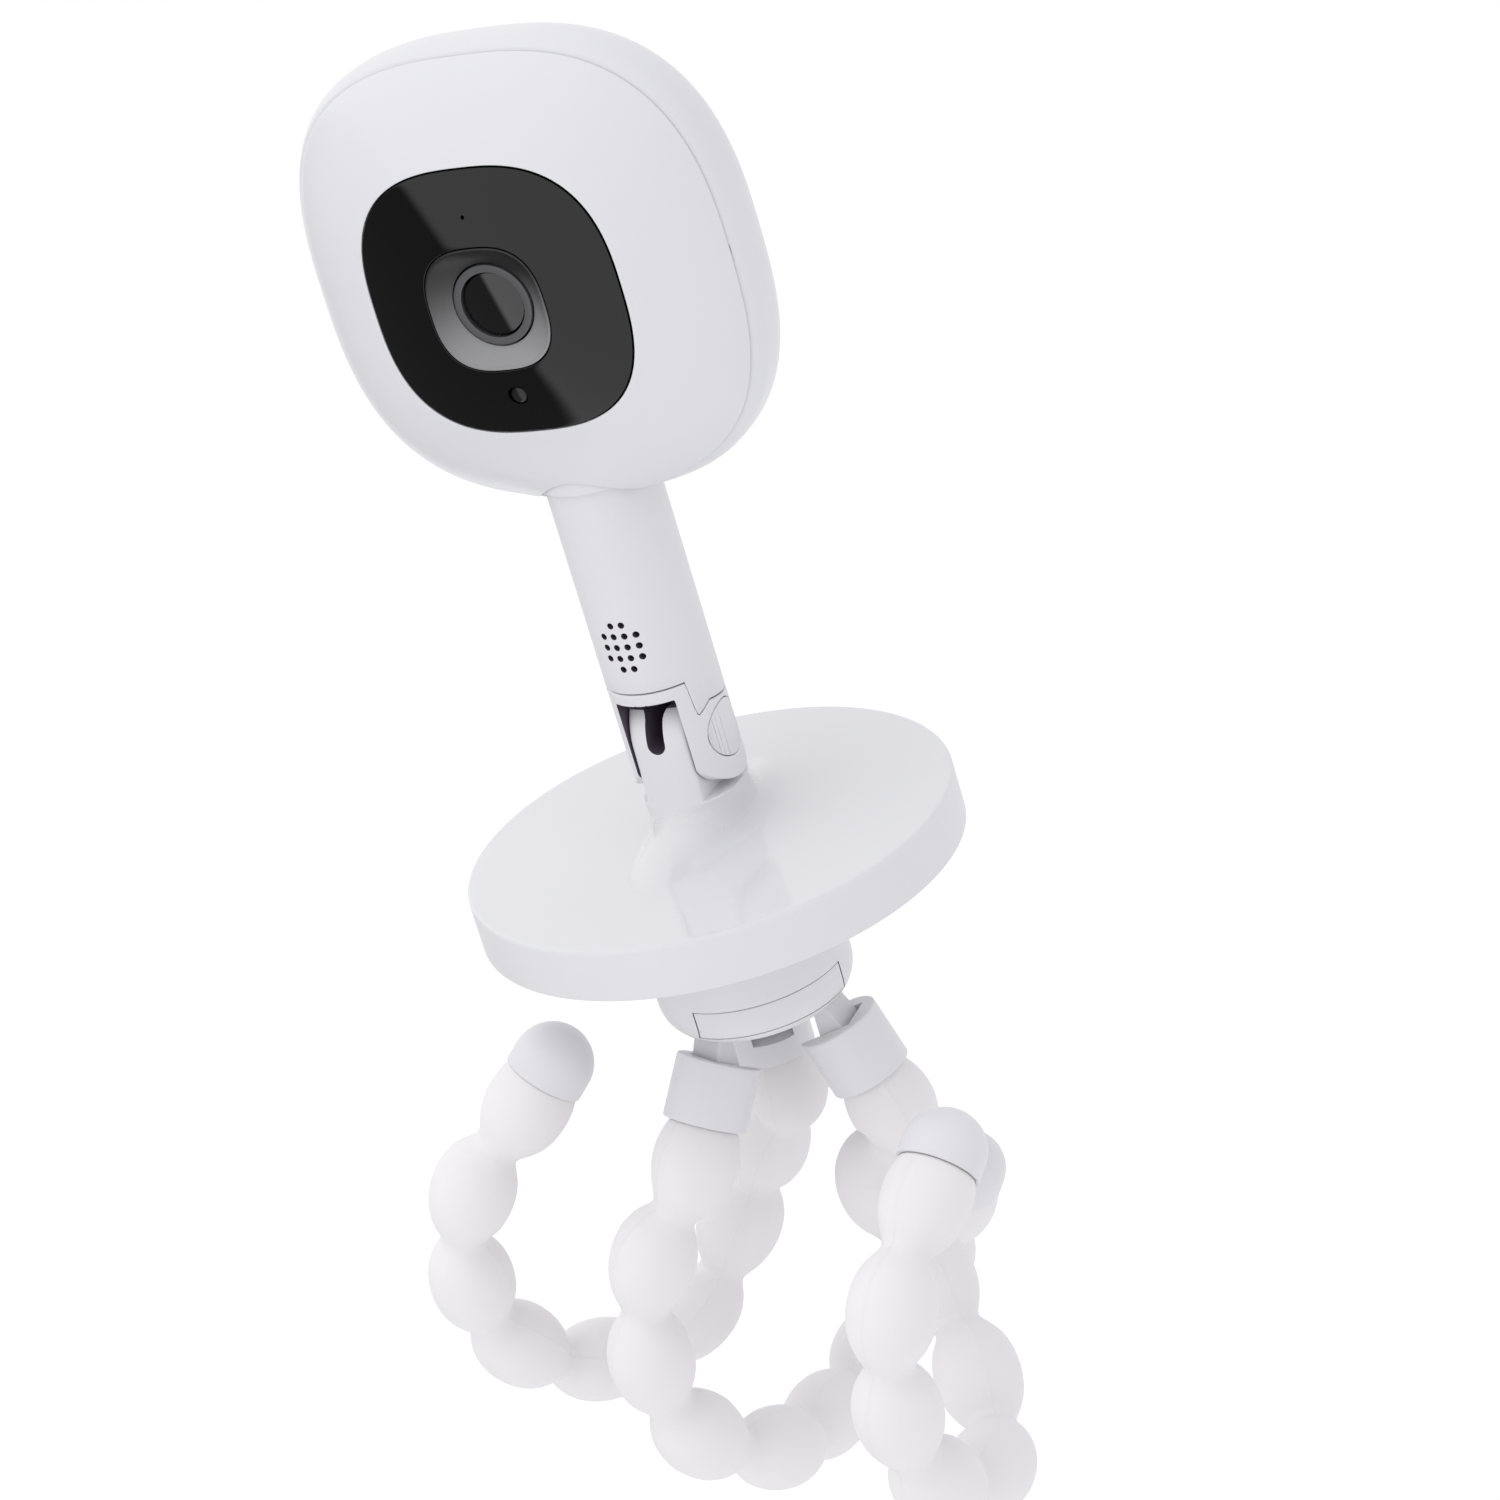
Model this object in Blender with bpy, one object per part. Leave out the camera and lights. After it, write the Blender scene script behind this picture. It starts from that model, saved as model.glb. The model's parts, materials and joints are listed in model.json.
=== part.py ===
"""Baby monitor camera: a tilting head on a disc base, on a hub with three flexible beaded legs.

World frame: +Z up along the disc's axis, +X along the bar that the legs wrap round, origin in
the middle of that bar. Dimensions below are millimetres; MM turns them into Blender's metres.
"""

import math

import bmesh
import bpy
from mathutils import Matrix, Vector

MM = 0.001
GAP = 0.35  # clearance between pieces that touch

# --- where things stand -------------------------------------------------------------------
DISC_TOP = (0.0, 20.0, 101.0)  # centre of the disc's top face, from the bar's middle
HEAD_YAW = 26.3  # turn of the head and base on the hub, degrees
HEAD_HEIGHT = 133.6  # centre of the head above the disc's top
TILT_HEIGHT = 23.7  # hinge axis of the stem above the disc's top

# --- head ---------------------------------------------------------------------------------
HEAD_HALF = 51.2  # half of the head's width and height at its widest plane
HEAD_POWER = 2.72  # roundness of the squircle outline
WIDEST = 1.6  # widest plane in front of the stem's axis
FRONT_DEPTH, FRONT_POWER = 23.2, 1.7  # front dome in front of the widest plane
REAR_DEPTH, REAR_POWER = 18.7, 3.27  # rear dome behind it
SEAM = 6.3  # parting plane of the two shells in front of the stem's axis
HEAD_WALL = 2.0
WINDOW_HALF = 29.3
WINDOW_THICK = 1.6
SURROUND_HALF = 13.5  # concave dish round the lens
BARREL_R, BARREL_FRONT = 8.93, 20.9
LENS_R = 7.0
PORT_OFFSET = 20.0  # light sensor below and microphone above the lens

# --- stem and hinge -----------------------------------------------------------------------
STEM_R, STEM_WALL = 12.37, 2.0
STEM_TOP = 93.0
COLLAR_R, COLLAR_LOW, COLLAR_HIGH = 13.6, 86.4, 92.4
NECK_DROP, NECK_SPAN = 4.4, 14.0  # how far the shell is drawn down in front of the neck, and its width
NECK_HIGH, NECK_FULL = 32.0, 40.0  # distances below the head's centre where that starts and is full
NECK_DEPTH, NECK_REACH = 12.0, 7.0  # place and spread of it along the lens axis
GRILLE_HEIGHT, GRILLE_PITCH, GRILLE_HOLE_R = 49.9, 2.6, 0.75
GRILLE_ROWS = (2, 4, 4, 4, 2)
BRIDGE_LOW = 35.5
SPIGOT_TOP = 41.0  # the fork's plug inside the tube
SLOT_HALF = 7.2  # half of the fork's slot
TONGUE_HALF = 6.85
TONGUE_R = 10.9  # rounded top of the tongue about the hinge axis
PRONG_TOP = 33.0
PRONG_SLOT = (4.4, 16.0, 23.3)  # width, depth from the front, lowest height
EAR_R = 11.4  # rounded bottom of the ears about the hinge axis
AXLE_R = 2.5
SIDE_CAP_R, SIDE_CAP_IN, SIDE_CAP_OUT = 6.3, 10.3, 11.4

# --- disc base ----------------------------------------------------------------------------
DISC_R, DISC_HEIGHT, DISC_WALL = 55.0, 12.56, 2.2
STUD_R = 8.0

# --- hub ----------------------------------------------------------------------------------
HUB_R, HUB_TOP, HUB_LOW = 22.3, -13.2, -45.0
LATCH_AZIMUTH = -26.0  # direction in which the latch panel faces, from +X
LATCH_HALF_WIDTH, LATCH_HIGH, LATCH_LOW = 16.8, -35.0, -42.0
LATCH_IN, LATCH_TRAVEL = 10.0, 1.2  # inner end of the panel's wings, and how far it is pressed
LUG_RADIUS, LUG_HEIGHT = 17.4, -54.5  # knuckle hinges below the hub
LUG_HALF_WIDTH, LUG_R = 4.6, 4.0
PIN_R = 1.6
PLATE_R = 16.0  # plate in the hub's mouth that carries the lugs

# --- legs ---------------------------------------------------------------------------------
FERRULE_R, FERRULE_ABOVE, FERRULE_BELOW = 9.5, 3.5, 11.0  # ends from the knuckle's axis
BEAD_R, NECK_R = 9.8, 5.5
BEAD_PITCH = 25.0
BEAD_ENDS = 0.62  # share of the pitch at which a bead's ellipse would close
BORE_R, CORE_R = 2.3, 1.7
CORE_SHORT = 0.4  # the core ends inside its segment
FIRST_BEAD = 19.5  # centre of the first bead from the knuckle's axis
CAP_R, CAP_START, CAP_LENGTH = 9.3, 6.5, 13.6
NECK_RELIEF = 1.0  # half of the opening between two segments at their axis
NECK_LIP = 1.4  # length of the bevel that lets a neck bend
SEGMENTS = ((1, 2), (3, 4), (5, 6), (7, 9))  # first and last bead of each sleeve segment

# Each leg: azimuth of its lug on the hub, tilt of its ferrule outwards, and the centres of its
# beads after the first, then of its end cap, from the disc's top centre.
LEGS = {
    1: (-90.0, 36.0, [(-7, -43, -90), (-11, -49, -114), (-11, -43, -138), (-12, -24, -154),
                      (-22, -3, -161), (-30, 20, -159), (-30, 42, -148), (-16, 45, -127),
                      (-8, 46, -115)]),
    2: (150.0, 0.0, [(-29, 8, -94), (-40, 1, -115), (-48, -14, -134), (-55, -37, -135),
                     (-55, -56, -119), (-52, -64, -96), (-45, -60, -72), (-35, -45, -55),
                     (-33, -35, -46)]),
    3: (30.0, 18.0, [(12, 8, -93), (26, 5, -113), (45, -3, -129), (63, -18, -138),
                     (72, -38, -126), (76, -45, -103), (79, -41, -79), (75, -22, -63),
                     (72, -10, -58)]),
}

SIDES_FINE, SIDES, SIDES_COARSE = 36, 24, 10

COLOURS = {  # colour, roughness, metallic
    "white_gloss": ((0.86, 0.86, 0.88), 0.22, 0.0),
    "white_satin": ((0.84, 0.84, 0.86), 0.42, 0.0),
    "white_silicone": ((0.86, 0.85, 0.85), 0.6, 0.0),
    "black_gloss": ((0.012, 0.012, 0.013), 0.06, 0.0),
    "grey_satin": ((0.09, 0.09, 0.1), 0.35, 0.0),
    "grey_metal": ((0.16, 0.16, 0.17), 0.3, 0.6),
    "lens": ((0.01, 0.01, 0.015), 0.03, 0.0),
    "circuit": ((0.02, 0.12, 0.05), 0.5, 0.0),
    "steel": ((0.55, 0.55, 0.56), 0.35, 1.0),
    "rubber": ((0.7, 0.7, 0.71), 0.8, 0.0),
}


# --- helpers ------------------------------------------------------------------------------
def clear_scene():
    for obj in list(bpy.data.objects):
        bpy.data.objects.remove(obj)


def material(key):
    found = bpy.data.materials.get(key)
    if found:
        return found
    colour, roughness, metallic = COLOURS[key]
    made = bpy.data.materials.new(key)
    made.use_nodes = True
    shader = made.node_tree.nodes["Principled BSDF"]
    shader.inputs["Base Color"].default_value = (*colour, 1.0)
    shader.inputs["Roughness"].default_value = roughness
    shader.inputs["Metallic"].default_value = metallic
    return made


def empty(name, location, parent=None, rotation=(0.0, 0.0, 0.0)):
    """An empty whose place is given in millimetres and degrees under its parent."""
    made = bpy.data.objects.new(name, None)
    bpy.context.collection.objects.link(made)
    made.location = Vector(location) * MM
    made.rotation_euler = [math.radians(angle) for angle in rotation]
    made.parent = parent
    return made


def new_object(name, build, key, parent, smooth_angle=35.0):
    """Links a mesh made from a bmesh in millimetres, its faces turned outwards."""
    bmesh.ops.recalc_face_normals(build, faces=build.faces)
    bmesh.ops.scale(build, vec=(MM, MM, MM), verts=build.verts)
    mesh = bpy.data.meshes.new(name)
    build.to_mesh(mesh)
    build.free()
    mesh.shade_smooth()
    mesh.set_sharp_from_angle(angle=math.radians(smooth_angle))
    made = bpy.data.objects.new(name, mesh)
    bpy.context.collection.objects.link(made)
    made.parent = parent
    if key:
        made.data.materials.append(material(key))
    return made


def loft(rings, closed=False):
    """A bmesh through rings of equal point counts: capped at both ends, or closed in a loop."""
    build = bmesh.new()
    rows = [[build.verts.new(point) for point in ring] for ring in rings]
    pairs = list(zip(rows, rows[1:]))
    if closed:
        pairs.append((rows[-1], rows[0]))
    for low, high in pairs:
        count = len(low)
        for i in range(count):
            j = (i + 1) % count
            build.faces.new((low[i], low[j], high[j], high[i]))
    if not closed:
        build.faces.new(rows[0])
        build.faces.new(rows[-1])
    return build


def squircle(half_x, half_y, level, power=2.0, sides=SIDES):
    """A superellipse ring at a height; power 2 gives a circle or an ellipse."""
    ring = []
    for i in range(sides):
        angle = 2.0 * math.pi * i / sides
        c, s = math.cos(angle), math.sin(angle)
        reach = (abs(c) ** power + abs(s) ** power) ** (-1.0 / power)
        ring.append(Vector((half_x * reach * c, half_y * reach * s, level)))
    return ring


def turned(profile, sides=SIDES, closed=False):
    """A bmesh turned about Z from (radius, height) points."""
    return loft([squircle(r, r, z, sides=sides) for r, z in profile], closed)


def block(size, centre):
    """A bmesh box."""
    build = bmesh.new()
    bmesh.ops.create_cube(build, size=1.0)
    bmesh.ops.scale(build, vec=size, verts=build.verts)
    bmesh.ops.translate(build, vec=centre, verts=build.verts)
    return build


def rod(radius, low, high, axis="Z", centre=(0.0, 0.0, 0.0), sides=16):
    """A bmesh cylinder along an axis between two places on it."""
    build = turned([(radius, low), (radius, high)], sides)
    turns = {"X": Matrix.Rotation(math.pi / 2, 3, "Y"), "Y": Matrix.Rotation(-math.pi / 2, 3, "X"),
             "Z": Matrix.Identity(3)}
    bmesh.ops.rotate(build, cent=(0, 0, 0), matrix=turns[axis], verts=build.verts)
    bmesh.ops.translate(build, vec=centre, verts=build.verts)
    return build


def combine(target, build, operation, label):
    """Adds an EXACT Boolean with a hidden guide made from a bmesh in the target's frame."""
    guide = new_object(f"{target.name}_{label}", build, None, target.parent)
    guide.location = target.location
    guide.rotation_euler = target.rotation_euler
    guide.hide_render = True
    guide.display_type = "WIRE"
    modifier = target.modifiers.new(label, "BOOLEAN")
    modifier.operation = operation
    modifier.object = guide
    modifier.solver = "EXACT"
    return guide


def cut(target, build, label):
    return combine(target, build, "DIFFERENCE", label)


# --- head ---------------------------------------------------------------------------------
def dome_ring(turn, depth, power, offset=0.0, sides=SIDES_FINE):
    """A ring of the head's dome, offset inwards by a wall: turn 90 is the widest plane."""
    angle = math.radians(turn)
    reach = math.sin(angle) ** (2.0 / power)
    rise = (abs(depth) - offset) * math.cos(angle) ** (2.0 / power)
    half = (HEAD_HALF - offset) * reach
    level = WIDEST + math.copysign(rise, depth)
    return squircle(half, half, level, HEAD_POWER, sides)


def dome_turn(half, depth, power, offset=0.0):
    """The turn at which the dome has a given half width."""
    return math.degrees(math.asin((half / (HEAD_HALF - offset)) ** (power / 2.0)))


def dome_turn_at(level, depth, power, offset=0.0):
    """The turn at which the dome reaches a level."""
    share = (level - WIDEST) / (depth - offset)
    return math.degrees(math.acos(share ** (power / 2.0)))


def dome_level(half, offset=0.0):
    turn = math.radians(dome_turn(half, FRONT_DEPTH, FRONT_POWER, offset))
    return WIDEST + (FRONT_DEPTH - offset) * math.cos(turn) ** (2.0 / FRONT_POWER)


def spread(first, last, steps):
    return [first + (last - first) * i / steps for i in range(steps + 1)]


def front_arc(start, end, steps, offset=0.0):
    return [dome_ring(turn, FRONT_DEPTH, FRONT_POWER, offset) for turn in spread(start, end, steps)]


def rear_arc(start, end, steps, offset=0.0):
    return [dome_ring(turn, -REAR_DEPTH, REAR_POWER, offset) for turn in spread(start, end, steps)]


def settled(build):
    """Draws a shell down towards the front of the neck."""
    for vert in build.verts:
        across, up, out = vert.co
        start = min(1.0, max(0.0, (-up - NECK_HIGH) / (NECK_FULL - NECK_HIGH)))
        weight = math.exp(-(across / NECK_SPAN) ** 2 - ((out - NECK_DEPTH) / NECK_REACH) ** 2)
        vert.co.y -= NECK_DROP * start * start * (3.0 - 2.0 * start) * weight
    return build


def build_shells(lens_axis):
    hole = WINDOW_HALF + GAP
    outer_seam = dome_turn_at(SEAM, FRONT_DEPTH, FRONT_POWER)
    inner_seam = dome_turn_at(SEAM, FRONT_DEPTH, FRONT_POWER, HEAD_WALL)
    outer_hole = dome_turn(hole, FRONT_DEPTH, FRONT_POWER)
    inner_hole = dome_turn(hole, FRONT_DEPTH, FRONT_POWER, HEAD_WALL)
    front = new_object(
        "front_shell",
        settled(loft(front_arc(outer_seam, outer_hole, 5)
                     + front_arc(inner_hole, inner_seam, 3, HEAD_WALL), True)),
        "white_gloss", lens_axis)
    lip = SEAM - GAP
    outer_lip = dome_turn_at(lip, FRONT_DEPTH, FRONT_POWER)
    inner_lip = dome_turn_at(lip, FRONT_DEPTH, FRONT_POWER, HEAD_WALL)
    rings = rear_arc(12.0, 90.0, 6)
    rings += front_arc(90.0, outer_lip, 2)[1:]
    rings += front_arc(inner_lip, 90.0, 1, HEAD_WALL)
    rings += rear_arc(90.0, 12.0, 4, HEAD_WALL)[1:]
    rear = new_object("rear_shell", settled(loft(rings)), "white_gloss", lens_axis)
    for shell in (front, rear):
        neck = rod(COLLAR_R + GAP, -60.0, -30.0, "Y", sides=24)
        cut(shell, neck, "neck_hole")


def build_window(lens_axis):
    def face(half, drop):
        return squircle(half, half, dome_level(half) - drop, HEAD_POWER)

    outer, inner = WINDOW_HALF, SURROUND_HALF + GAP
    steps = spread(outer, inner, 2)
    rings = [face(half, 0.0) for half in steps] + [face(half, WINDOW_THICK) for half in steps[::-1]]
    panel = new_object("window_panel", loft(rings, True), "black_gloss", lens_axis)
    for label, side, radius in (("sensor_hole", -1, 2.2), ("microphone_hole", 1, 0.6)):
        drill = rod(radius, 15.0, 30.0, centre=(0.0, side * PORT_OFFSET, 0.0), sides=12)
        cut(panel, drill, label)


def build_optics(lens_axis):
    rim = dome_level(SURROUND_HALF)
    bowl = [(SURROUND_HALF, rim, HEAD_POWER), (12.4, rim - 0.9, HEAD_POWER), (10.9, rim - 2.7, 2.3),
            (9.6, BARREL_FRONT - 0.6, 2.0), (9.6, 17.2, 2.0), (11.2, 17.2, 2.0),
            (12.6, rim - 3.4, 2.3), (SURROUND_HALF, rim - 1.7, HEAD_POWER)]
    rings = [squircle(half, half, level, power) for half, level, power in bowl]
    new_object("lens_surround", loft(rings, True), "grey_satin", lens_axis)
    barrel = [(BARREL_R, BARREL_FRONT), (BARREL_R, 5.5), (LENS_R + GAP, 5.5),
              (LENS_R + GAP, BARREL_FRONT)]
    new_object("lens_barrel", turned(barrel, closed=True), "grey_metal", lens_axis)
    glass = [(1.5, 20.6), (4.0, 20.4), (6.0, 20.0), (LENS_R, 19.6), (LENS_R, 16.6), (1.5, 17.8)]
    new_object("lens_glass", turned(glass), "lens", lens_axis)
    sensor_lens = [(0.6, 0.0), (1.4, -0.1), (1.85, -0.4), (1.85, -2.6), (0.6, -2.6)]
    port = dome_level(PORT_OFFSET)
    sensor = new_object("light_sensor", turned(sensor_lens, 12), "black_gloss", lens_axis)
    sensor.location = Vector((0.0, -PORT_OFFSET, port - 0.2)) * MM
    microphone = new_object("microphone", turned([(1.9, 0.0), (1.9, -1.4)], 12), "steel", lens_axis)
    microphone.location = Vector((0.0, PORT_OFFSET, port - WINDOW_THICK - 1.6)) * MM


def build_boards(lens_axis):
    ring = [squircle(half, half, level, HEAD_POWER, 24)
            for half, level in ((26.0, 16.4), (26.0, 15.2), (13.0, 15.2), (13.0, 16.4))]
    new_object("infrared_board", loft(ring, True), "circuit", lens_axis)
    new_object("sensor_board", block((20.0, 20.0, 1.2), (0.0, 0.0, 4.4)), "circuit", lens_axis)
    new_object("main_board", block((60.0, 56.0, 1.6), (0.0, 4.0, 0.6)), "circuit", lens_axis)


# --- stem and hinge -----------------------------------------------------------------------
def tube_foot(angle):
    """Height of the stem tube's lower edge at an angle from the front, in degrees."""
    turns = ((0.0, 38.6), (51.0, 38.6), (54.5, 30.3), (57.0, 30.3), (73.0, 32.3), (100.0, 31.3),
             (180.0, 31.0))
    for (a, low), (b, high) in zip(turns, turns[1:]):
        if angle <= b:
            return low + (high - low) * (angle - a) / (b - a)
    return turns[-1][1]


def stem_ring(radius, shift, sides=48):
    """A ring of the stem whose heights follow the tube's lower edge."""
    ring = []
    for i in range(sides):
        angle = 360.0 * i / sides
        turn = math.radians(angle)
        foot = tube_foot(min(angle, 360.0 - angle))
        ring.append(Vector((radius * math.sin(turn), -radius * math.cos(turn), foot + shift)))
    return ring


def level_ring(radius, height, sides=48):
    return [Vector((point.x, point.y, height)) for point in stem_ring(radius, 0.0, sides)]


def build_stem(head_frame):
    inner = STEM_R - STEM_WALL
    rings = [stem_ring(STEM_R, 0.0), level_ring(STEM_R, STEM_TOP), level_ring(inner, STEM_TOP),
             stem_ring(inner, 0.0)]
    tube = new_object("stem_tube", loft(rings, True), "white_satin", head_frame)
    rows = len(GRILLE_ROWS)
    for row, count in enumerate(GRILLE_ROWS):
        height = GRILLE_HEIGHT + (rows - 1 - 2 * row) * GRILLE_PITCH / 2.0
        for column in range(count):
            across = (column - (count - 1) / 2.0) * GRILLE_PITCH
            drill = rod(GRILLE_HOLE_R, -16.0, -8.0, "Y", (across, 0.0, height), 6)
            cut(tube, drill, f"grille_{row}_{column}")
    inlet_hole = block((9.4, 8.0, 3.8), (0.0, STEM_R, 44.0))
    cut(tube, inlet_hole, "inlet_hole")
    new_object("power_inlet", block((8.6, 6.0, 3.0), (0.0, STEM_R - 3.4, 44.0)), "steel", head_frame)
    collar = [(COLLAR_R, COLLAR_HIGH), (COLLAR_R, COLLAR_LOW), (STEM_R + GAP, COLLAR_LOW),
              (STEM_R + GAP, COLLAR_HIGH)]
    new_object("stem_collar", turned(collar, closed=True), "white_satin", head_frame)
    driver = new_object("speaker", rod(5.8, -7.9, -4.2, "Y", sides=20), "grey_satin", head_frame)
    driver.location = Vector((0.0, 0.0, GRILLE_HEIGHT)) * MM


def build_fork(head_frame):
    spigot = STEM_R - STEM_WALL - GAP
    rings = [level_ring(STEM_R, TILT_HEIGHT - EAR_R - 4.0), stem_ring(STEM_R, -2.0 * GAP),
             stem_ring(spigot, -2.0 * GAP), level_ring(spigot, SPIGOT_TOP)]
    fork = new_object("hinge_fork", loft(rings), "white_satin", head_frame)
    side = [(-14.0, 42.0), (-14.0, TILT_HEIGHT)]
    side += [(-EAR_R * math.cos(math.radians(turn)), TILT_HEIGHT - EAR_R * math.sin(math.radians(turn)))
             for turn in spread(14.0, 166.0, 12)]
    side += [(14.0, TILT_HEIGHT), (14.0, 42.0)]
    outline = loft([[Vector((x, y, z)) for y, z in side] for x in (-15.0, 15.0)])
    combine(fork, outline, "INTERSECT", "outline")
    cut(fork, block((2 * SLOT_HALF, 40.0, 40.0), (0.0, 0.0, BRIDGE_LOW - 20.0)), "slot")
    cut(fork, rod(AXLE_R + GAP, -20.0, 20.0, "X", (0.0, 0.0, TILT_HEIGHT)), "axle_hole")
    for side_sign, name in ((-1, "hinge_cap_left"), (1, "hinge_cap_right")):
        start, end = sorted((side_sign * (SIDE_CAP_IN - GAP), side_sign * 20.0))
        pocket = rod(SIDE_CAP_R + GAP, start, end, "X", (0.0, 0.0, TILT_HEIGHT), 24)
        cut(fork, pocket, f"{name}_pocket")
        start, end = sorted((side_sign * SIDE_CAP_IN, side_sign * SIDE_CAP_OUT))
        cap = rod(SIDE_CAP_R, start, end, "X", sides=24)
        button = new_object(name, cap, "white_satin", head_frame)
        button.location = Vector((0.0, 0.0, TILT_HEIGHT)) * MM


# --- disc base ----------------------------------------------------------------------------
def tongue_ring(half_y, level):
    """An oval ring of the pillar with its two sides cut flat to fit the fork's slot."""
    ring = squircle(11.2, half_y, level, 2.4, SIDES_FINE)
    return [Vector((max(-TONGUE_HALF, min(TONGUE_HALF, point.x)), point.y, level)) for point in ring]


def build_base(base_frame):
    low = -DISC_HEIGHT + GAP
    inner = DISC_R - DISC_WALL
    edge = [(DISC_R, low), (DISC_R, -1.2), (DISC_R - 0.35, -0.35), (DISC_R - 1.2, 0.0)]
    rings = [squircle(inner, inner, low, sides=SIDES_FINE)]
    rings += [squircle(r, r, z, sides=SIDES_FINE) for r, z in edge]
    flare = ((14.0, 29.0, 0.0, 2.0), (11.6, 24.0, 0.8, 2.0), (10.4, 18.5, 2.6, 2.0),
             (10.2, 14.6, 5.4, 2.0), (10.8, 12.6, 8.4, 2.2), (11.2, 12.0, 10.9, 2.4))
    rings += [squircle(x, y, z, power, SIDES_FINE) for x, y, z, power in flare]
    rings += [tongue_ring(12.0, 11.3), tongue_ring(11.4, 16.0), tongue_ring(11.2, 24.5)]
    for height in (27.0, 30.0, 32.0, PRONG_TOP):
        rings.append(tongue_ring(math.sqrt(TONGUE_R ** 2 - (height - TILT_HEIGHT) ** 2), height))
    cover = new_object("base_cover", loft(rings), "white_gloss", base_frame)
    cut(cover, turned([(inner, -DISC_HEIGHT - 5.0), (inner, -DISC_WALL)], SIDES_FINE), "hollow")
    width, depth, low = PRONG_SLOT
    prong_slot = block((width, depth, 20.0), (0.0, depth / 2.0 - 12.0, low + 10.0))
    cut(cover, prong_slot, "prong_slot")
    cut(cover, rod(AXLE_R + 0.05, -20.0, 20.0, "X", (0.0, 0.0, TILT_HEIGHT)), "axle_hole")
    axle = new_object("hinge_axle", rod(AXLE_R - GAP, -9.8, 9.8, "X"), "steel", base_frame)
    axle.location = Vector((0.0, 0.0, TILT_HEIGHT)) * MM
    ring_out, ring_in = inner - GAP, STUD_R + GAP
    plate = [(ring_out, -12.2), (ring_out, -10.2), (ring_in, -10.2), (ring_in, -12.2)]
    new_object("base_plate", turned(plate, closed=True), "white_satin", base_frame)
    weight = [(49.0, -9.8), (49.0, -4.4), (18.0, -4.4), (18.0, -9.8)]
    new_object("ballast_ring", turned(weight, closed=True), "steel", base_frame)
    foot = [(50.5, -DISC_HEIGHT - 0.6), (50.5, -12.55), (45.0, -12.55), (45.0, -DISC_HEIGHT - 0.6)]
    new_object("foot_ring", turned(foot, closed=True), "rubber", base_frame)


# --- hub ----------------------------------------------------------------------------------
def hub_outline():
    """Outer profile of the hub from its top edge to the rounded lower edge."""
    return [(HUB_R - 0.6, HUB_TOP), (HUB_R, HUB_TOP - 0.6), (HUB_R, -38.0), (21.7, -40.8),
            (20.3, -43.0), (18.2, HUB_LOW + 0.4)]


def latch_window(start, clearance=0.0):
    """A box round the latch panel, its sides parallel to the way that the panel is pressed."""
    high, low = LATCH_HIGH + clearance, LATCH_LOW - clearance
    size = (HUB_R, 2.0 * (LATCH_HALF_WIDTH + clearance), high - low)
    return block(size, (start + HUB_R / 2.0, 0.0, (high + low) / 2.0))


def build_hub(hub_frame):
    outer = hub_outline()
    shell = outer + [(16.4, HUB_LOW + 0.4), (18.0, -40.0), (19.6, -36.0), (19.6, -16.2),
                     (STUD_R + GAP, -16.2), (STUD_R + GAP, HUB_TOP)]
    housing = new_object("hub_housing", turned(shell, closed=True), "white_satin", hub_frame)
    housing.rotation_euler = (0.0, 0.0, math.radians(LATCH_AZIMUTH))
    cut(housing, latch_window(LATCH_IN - LATCH_TRAVEL - GAP, GAP), "latch_opening")
    wall = [(HUB_R, -30.0)] + outer[2:5] + [(18.4, -43.0), (18.6, -38.0), (18.6, -30.0)]
    panel = new_object("hub_latch", turned(wall[::-1], closed=True), "white_satin", hub_frame)
    panel.rotation_euler = (0.0, 0.0, math.radians(LATCH_AZIMUTH))
    combine(panel, latch_window(LATCH_IN), "INTERSECT", "panel")
    stud = [(12.0, -19.6), (12.0, -16.6), (STUD_R, -16.6), (STUD_R, -9.8), (11.0, -9.8),
            (11.0, -7.6), (5.0, -7.6), (5.0, -19.6)]
    new_object("swivel_stud", turned(stud, 24, True), "grey_satin", hub_frame)
    plate = new_object("leg_mount", turned([(PLATE_R, -42.6), (PLATE_R, HUB_LOW)], 24), "white_satin",
                       hub_frame)
    for number, (azimuth, _, _) in LEGS.items():
        combine(plate, lug(math.radians(azimuth)), "UNION", f"lug_{number}")
        bore = knuckle_rod(math.radians(azimuth), PIN_R + 0.05, 20.0)
        cut(plate, bore, f"lug_bore_{number}")


def lug(azimuth):
    """A tongue below the hub, thin along its hinge axis and round about it."""
    high = HUB_LOW + 1.0
    root = PLATE_R - LUG_RADIUS - 0.8
    side = [(-LUG_R, high), (root, high), (root, HUB_LOW), (root + 1.4, HUB_LOW),
            (LUG_R, LUG_HEIGHT)]
    side += [(LUG_R * math.cos(math.radians(turn)), LUG_HEIGHT - LUG_R * math.sin(math.radians(turn)))
             for turn in spread(22.5, 157.5, 6)]
    side += [(-LUG_R, LUG_HEIGHT)]
    rings = [[Vector((LUG_RADIUS + out, across, z)) for out, z in side]
             for across in (-LUG_HALF_WIDTH, LUG_HALF_WIDTH)]
    build = loft(rings)
    bmesh.ops.rotate(build, cent=(0, 0, 0), matrix=Matrix.Rotation(azimuth, 3, "Z"), verts=build.verts)
    return build


def knuckle_rod(azimuth, radius, half):
    """A rod on a knuckle's axis, across the hub's radius."""
    build = rod(radius, -half, half, "Y", (LUG_RADIUS, 0.0, LUG_HEIGHT), 12)
    bmesh.ops.rotate(build, cent=(0, 0, 0), matrix=Matrix.Rotation(azimuth, 3, "Z"), verts=build.verts)
    return build


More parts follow.
